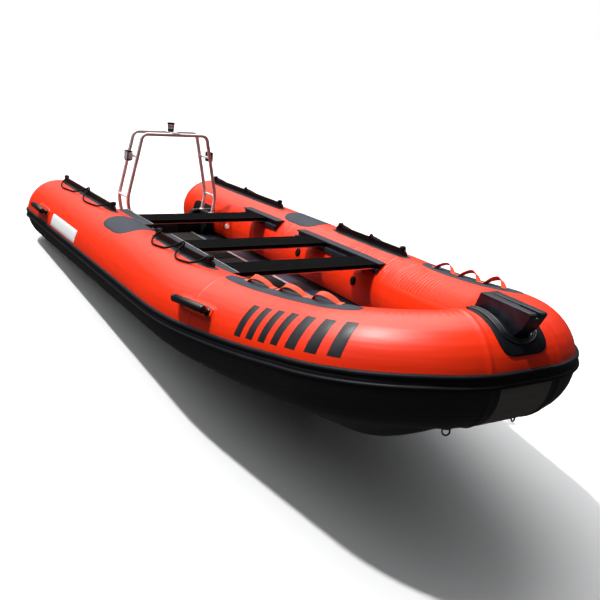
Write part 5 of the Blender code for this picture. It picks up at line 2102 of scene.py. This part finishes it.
@dataclass
class Flaps(Assembly):
    """Laced flaps: a ribbed base patch, a standing wall, a knob at each end and an eye in the middle."""

    lacings: Lacings
    # Share of the wall's height and half its thickness there, from the root up
    wall_form: Pairs = (
        (0.0, 0.0075), (0.1, 0.0048), (0.3, 0.0034), (0.62, 0.003), (0.8, 0.0034), (0.88, 0.0052),
        (0.96, 0.0056), (1.02, 0.004))
    # Inset, half angle, thickness, squareness, rim and finish number of each base patch
    bases: tuple[tuple[float, ...], ...] = (
        (0.0, 9.0, 0.0032, 3.0, 0.006, 0), (0.045, 7.0, 0.0046, 8.0, 0.004, 1))
    saddle: Pairs = ((0.0085, 0.0), (0.0095, 0.01), (0.0088, 0.018), (0.005, 0.0205), (0.001, 0.021))
    knob_form: Pairs = (
        (0.0125, 0.0), (0.014, 0.004), (0.014, 0.008), (0.0105, 0.011), (0.01, 0.022), (0.012, 0.0235),
        (0.016, 0.0245), (0.0166, 0.0268), (0.0145, 0.0295), (0.009, 0.031), (0.001, 0.0314))

    def over(self, x: float, lift: float, side: Side) -> np.ndarray:
        """Point over a flap's root at X, by its height from the flap's top."""
        return self.lacings.over_flap(x, self.lacings.sizes.height + lift) * side.flip

    def build(self) -> None:
        """Makes the four flaps, each with two rows of thread along its wall's root."""
        shop, palette, form = self.tools
        sizes = self.lacings.sizes
        finishes = [palette.ribbed, palette.flap, palette.flap, palette.cord]
        for name, start, end in sizes.spans:
            for side in Side:
                shape = Shape()
                for inset, half, *rest in self.bases:
                    shop.patch(shape, side, form.span(start + inset, end - inset),
                               (sizes.angle - half, sizes.angle + half), *rest)
                self.wall(shape, start, end, side)
                for x in (start + sizes.inset, end - sizes.inset):
                    self.knob(shape, x, side)
                self.eye(shape, (start + end) / 2, side)
                label = f"{name}_{side}"
                shop.piece(f"laced_flap_{label}", shape, finishes, replaces=f"flap_{label}")
                s = np.linspace(*form.span(start + 0.05, end - 0.05), 90)
                rows = [form.on_tube(s, sizes.angle + turn, 0.0036, side) for turn in (-4.0, 4.0)]
                shop.stitches(f"flap_stitching_{label}", rows, 0.0085, 0.0007, palette.cord,
                              "lacing_aft_starboard")

    def wall(self, shape: Shape, start: float, end: float, side: Side) -> None:
        """The standing wall with a bead along its top and a flared root.

        Args:
            shape: where it is added.
            start: X of its aft end.
            end: X of its fore end.
            side: which tube.
        """
        sizes = self.lacings.sizes
        xs = [*np.linspace(start + 0.034, start + 0.07, 6), *np.arange(start + 0.1, end - 0.09, 0.03),
              *np.linspace(end - 0.07, end - 0.034, 6)]
        rings = []
        for x in xs:
            ramp = min(1.0, (x - start - 0.03) / 0.04, (end - 0.03 - x) / 0.04)
            height = sizes.height * (0.25 + 0.75 * math.sin(0.5 * math.pi * max(0.0, ramp)) ** 0.8)
            low, top = (self.lacings.over_flap(x, lift) for lift in (0.0015, 0.0015 + height))
            sides = [[low + (top - low) * share + (0.0, sign * half, 0.0) for share, half in self.wall_form]
                     for sign in (-1, 1)]
            rings.append(np.array(sides[0] + sides[1][::-1]) * side.flip)
        shape.loft(np.array(rings), slot=1)

    def knob(self, shape: Shape, x: float, side: Side) -> None:
        """A grooved knob on the wall's top, with two turns of cord round it."""
        foot = self.over(x, -0.01, side)
        axis = unit(self.over(x, 0.02, side) - foot)
        shape.lathe(foot, axis, self.knob_form, 28, 2)
        for height in (0.012, 0.02):
            shape.ring(foot + axis * height, axis, 0.015, 0.0048, 8, 26, 3)

    def eye(self, shape: Shape, x: float, side: Side) -> None:
        """The middle eye on its saddle."""
        radius = self.lacings.sizes.eye_r
        centre = self.over(x, radius, side)
        shape.ring(centre, (1.0, 0.0, 0.0), radius + 0.0015, 0.004, 10, 26, 2)
        foot = self.over(x, -0.014, side)
        for shift in (-0.016, 0.016):
            shape.lathe(foot + (shift, 0.0, 0.0), centre - foot, self.saddle, 20, 2)


@dataclass
class Handles(Assembly):
    """Grab handles: an orange moulded base on the tube and a thick glossy black grip on two posts."""

    places: Places = (("aft", -0.92, 14.0), ("middle", 1.745, 21.0))
    length: float = 0.3
    span: float = 15.0
    grip_r: float = 0.022
    lift: float = 0.05
    # Share of the grip's length and of its radius, up to its middle
    grip: Pairs = (
        (0.0, 0.25), (0.008, 0.55), (0.022, 0.8), (0.045, 0.96), (0.075, 1.0), (0.085, 1.0), (0.092, 0.94),
        (0.1, 0.985), (0.5, 0.985))
    post: Pairs = (
        (0.024, 0.004), (0.023, 0.0085), (0.016, 0.013), (0.0135, 0.02), (0.0135, 0.05))

    def build(self) -> None:
        """Makes the four handles."""
        shop, palette, form = self.tools
        shares, radii = np.array([*self.grip, *((1.0 - share, r) for share, r in self.grip[-2::-1])]).T
        for name, start, low in self.places:
            for side in Side:
                s0, s1 = form.span(start, start + self.length)
                shape = Shape()
                shop.patch(shape, side, (s0, s1), (low, low + self.span), 0.0078, 5.0, 0.006)
                shop.patch(shape, side, (s0 - 0.012, s1 + 0.012), (low - 2.6, low + self.span + 2.6), 0.0016,
                           5.0, 0.004)
                middle = low + self.span / 2
                first, last = (form.at(start + self.length * t, middle, self.lift, side)
                               for t in (0.03, 0.97))
                points = first + (last - first) * shares[:, None]
                shape.rod(points, radii * self.grip_r, 28, 1, End.FLAT)
                for t in (0.14, 0.86):
                    foot = form.at(start + self.length * t, middle, 0.002, side)
                    shape.lathe(foot, first + (last - first) * t - foot, self.post, 28, 1)
                shop.piece(f"handle_{name}_{side}", shape, [palette.orange_tape, palette.gloss],
                           replaces=f"grab_handle_{name}_{side}")


@dataclass
class Straps(Assembly):
    """Bow hand straps: loops of orange webbing stitched on a long ribbed patch."""

    patch_x: tuple[float, float] = (1.86, 2.8)
    angles: tuple[float, float] = (75.5, 102.0)
    middle: float = 93.0
    loops: Pairs = ((2.02, 2.2), (2.27, 2.45), (2.51, 2.67))
    width: float = 0.03
    thick: float = 0.0026
    rise: float = 0.038
    foot: float = 0.028
    lean: float = 5.0
    tilt: float = 30.0
    twist: float = 12.0

    def build(self) -> None:
        """Makes both sides."""
        shop, palette, form = self.tools
        for side in Side:
            shape = Shape()
            shop.patch(shape, side, form.span(*self.patch_x), self.angles,
                       0.0032, 3.2, 0.006)
            seams = [box for number in range(len(self.loops)) for box in self.loop(shape, number, side)]
            shop.piece(f"hand_straps_{side}", shape, [palette.ribbed, palette.webbing],
                       replaces=f"bow_strap_{side}")
            shop.stitches(f"strap_stitching_{side}", seams, 0.0048, 0.0006, palette.thread,
                          f"bow_strap_{side}")

    def loop(self, shape: Shape, number: int, side: Side) -> list[np.ndarray]:
        """Bends one loop and gives the crossed boxes of thread that hold its feet.

        Args:
            shape: where it is added.
            number: which strap, from aft.
            side: which tube.

        Returns:
            Points of each line of thread.
        """
        form = self.shop.form
        s0, s1 = form.span(*self.loops[number])
        t = np.linspace(0.0, 1.0, 31)
        arch = np.pad(np.sin(math.pi * t), 2)
        feet = self.foot * np.array([0.5, 1.0])
        s = np.array([*(s0 - feet[::-1]), *(s0 + (s1 - s0) * t), *(s1 + feet)])
        lift = np.pad(self.rise * np.sin(math.pi * t) ** 0.85, 2) + 0.0048
        path = cut_corners(form.on_tube(s, self.middle - self.lean * arch, lift, side), 1)
        _, outward, _ = form.section(np.array([s0]))
        first = outward[0] * side.flip * np.array([1.0, 1.0, 0.0])
        run = np.linspace(0.0, 1.0, len(path))
        sway = np.sin(math.pi * run)
        twist = math.radians(self.twist) * sway ** 2 * np.sin(math.tau * run + number)
        half, deep = self.width / 2, self.thick / 2
        edge = np.array([(-1.0, -0.5), (-0.9, -1.0), (0.9, -1.0), (1.0, -0.5)]) * (half, deep)
        shape.sweep(path, np.concatenate([edge, -edge]), first=first, slot=1,
                    twist=twist - side.value * math.radians(self.tilt) * sway)
        reach = math.degrees((half - 0.004) / form.tube_r)
        boxes = []
        for a, b in ((s0 - self.foot + 0.004, s0 - 0.004), (s1 + 0.004, s1 + self.foot - 0.004)):
            turns = self.middle + reach * np.array([-1.0, -1.0, 1.0, 1.0, -1.0, 1.0])
            boxes.append(form.on_tube([a, b, b, a, a, b], turns, 0.0064, side))
        return boxes


@dataclass
class Panels(Assembly):
    """Flat things on the tubes: wear patches, blank plates and a row of plain slanted bars."""

    bars: int = 7
    bars_s: tuple[float, float] = (3.441, 4.056)
    # Lowest and highest angle of the first bar, and how much each grows towards the last
    bar_low: tuple[float, float] = (15.0, 8.0)
    bar_high: tuple[float, float] = (54.0, 8.5)

    def build(self) -> None:
        """Lays them on both sides."""
        shop, palette, form = self.tools
        sheets = (
            ("wear_pad", "wear_patch", palette.ribbed, (0.27, 0.7), (56.0, 121.0), 0.0022, 3.4, 0.004),
            ("blank_plate_sheet", "blank_plate", palette.white, (-0.52, 0.08), (6.0, 27.0), 0.0014, 26.0,
             0.002))
        for side in Side:
            for name, node, finish, xs, *rest in sheets:
                sheet = Shape()
                shop.patch(sheet, side, form.span(*xs), *rest)
                shop.piece(f"{name}_{side}", sheet, [finish], replaces=f"{node}_{side}")
            self.slanted_bars(side)

    def slanted_bars(self, side: Side) -> None:
        """A row of slanted black bars, a plain safety marking."""
        shop, palette, form = self.tools
        shape = Shape()
        aft, fore = self.bars_s
        rows = np.linspace(0.0, 1.0, 12)[:, None]
        columns = np.array([0.0, 0.04, 0.5, 0.96, 1.0])[None]
        inside = (columns > 0) & (columns < 1) & (rows > 0) & (rows < 1)
        for share in np.arange(self.bars) / self.bars:
            s = aft + (fore - aft) * (share + (0.55 * columns + 0.36 * rows) / self.bars)
            low, high = (first + more * share for first, more in (self.bar_low, self.bar_high))
            angle = np.broadcast_to(low + (high - low) * rows, s.shape)
            shape.shell(form.on_tube(s, angle, np.where(inside, 0.0009, 0.0003), side),
                        form.on_tube(s, angle, -0.0008, side), form.uv(s, angle))
        shop.piece(f"slanted_bars_{side}", shape, [palette.black_vinyl], slot="rub_strake")


def main() -> None:
    """Builds the camera, the cords, every sub-assembly in order and the studio."""
    logging.basicConfig(level=logging.INFO, format="%(name)s: %(message)s")
    shop = Workshop()
    lacings = Lacings(shop)
    parts = [PhotoCamera(shop), lacings, Tubes(shop), RubStrake(shop), Bottom(shop), Transom(shop)]
    parts += [Deck(shop), Thwarts(shop), Rails(shop), Arch(shop), BowFittings(shop), Flaps(shop, lacings)]
    parts += [Handles(shop), Straps(shop), Panels(shop), Studio(shop)]
    for part in parts:
        part.build()
    log.info("%d pieces", shop.made)
    boxes = {"cad": cad_box, "visual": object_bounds()}
    {name: [list(map(float, corner)) for corner in box] for name, box in boxes.items()}


if __name__ == "__main__":
    main()
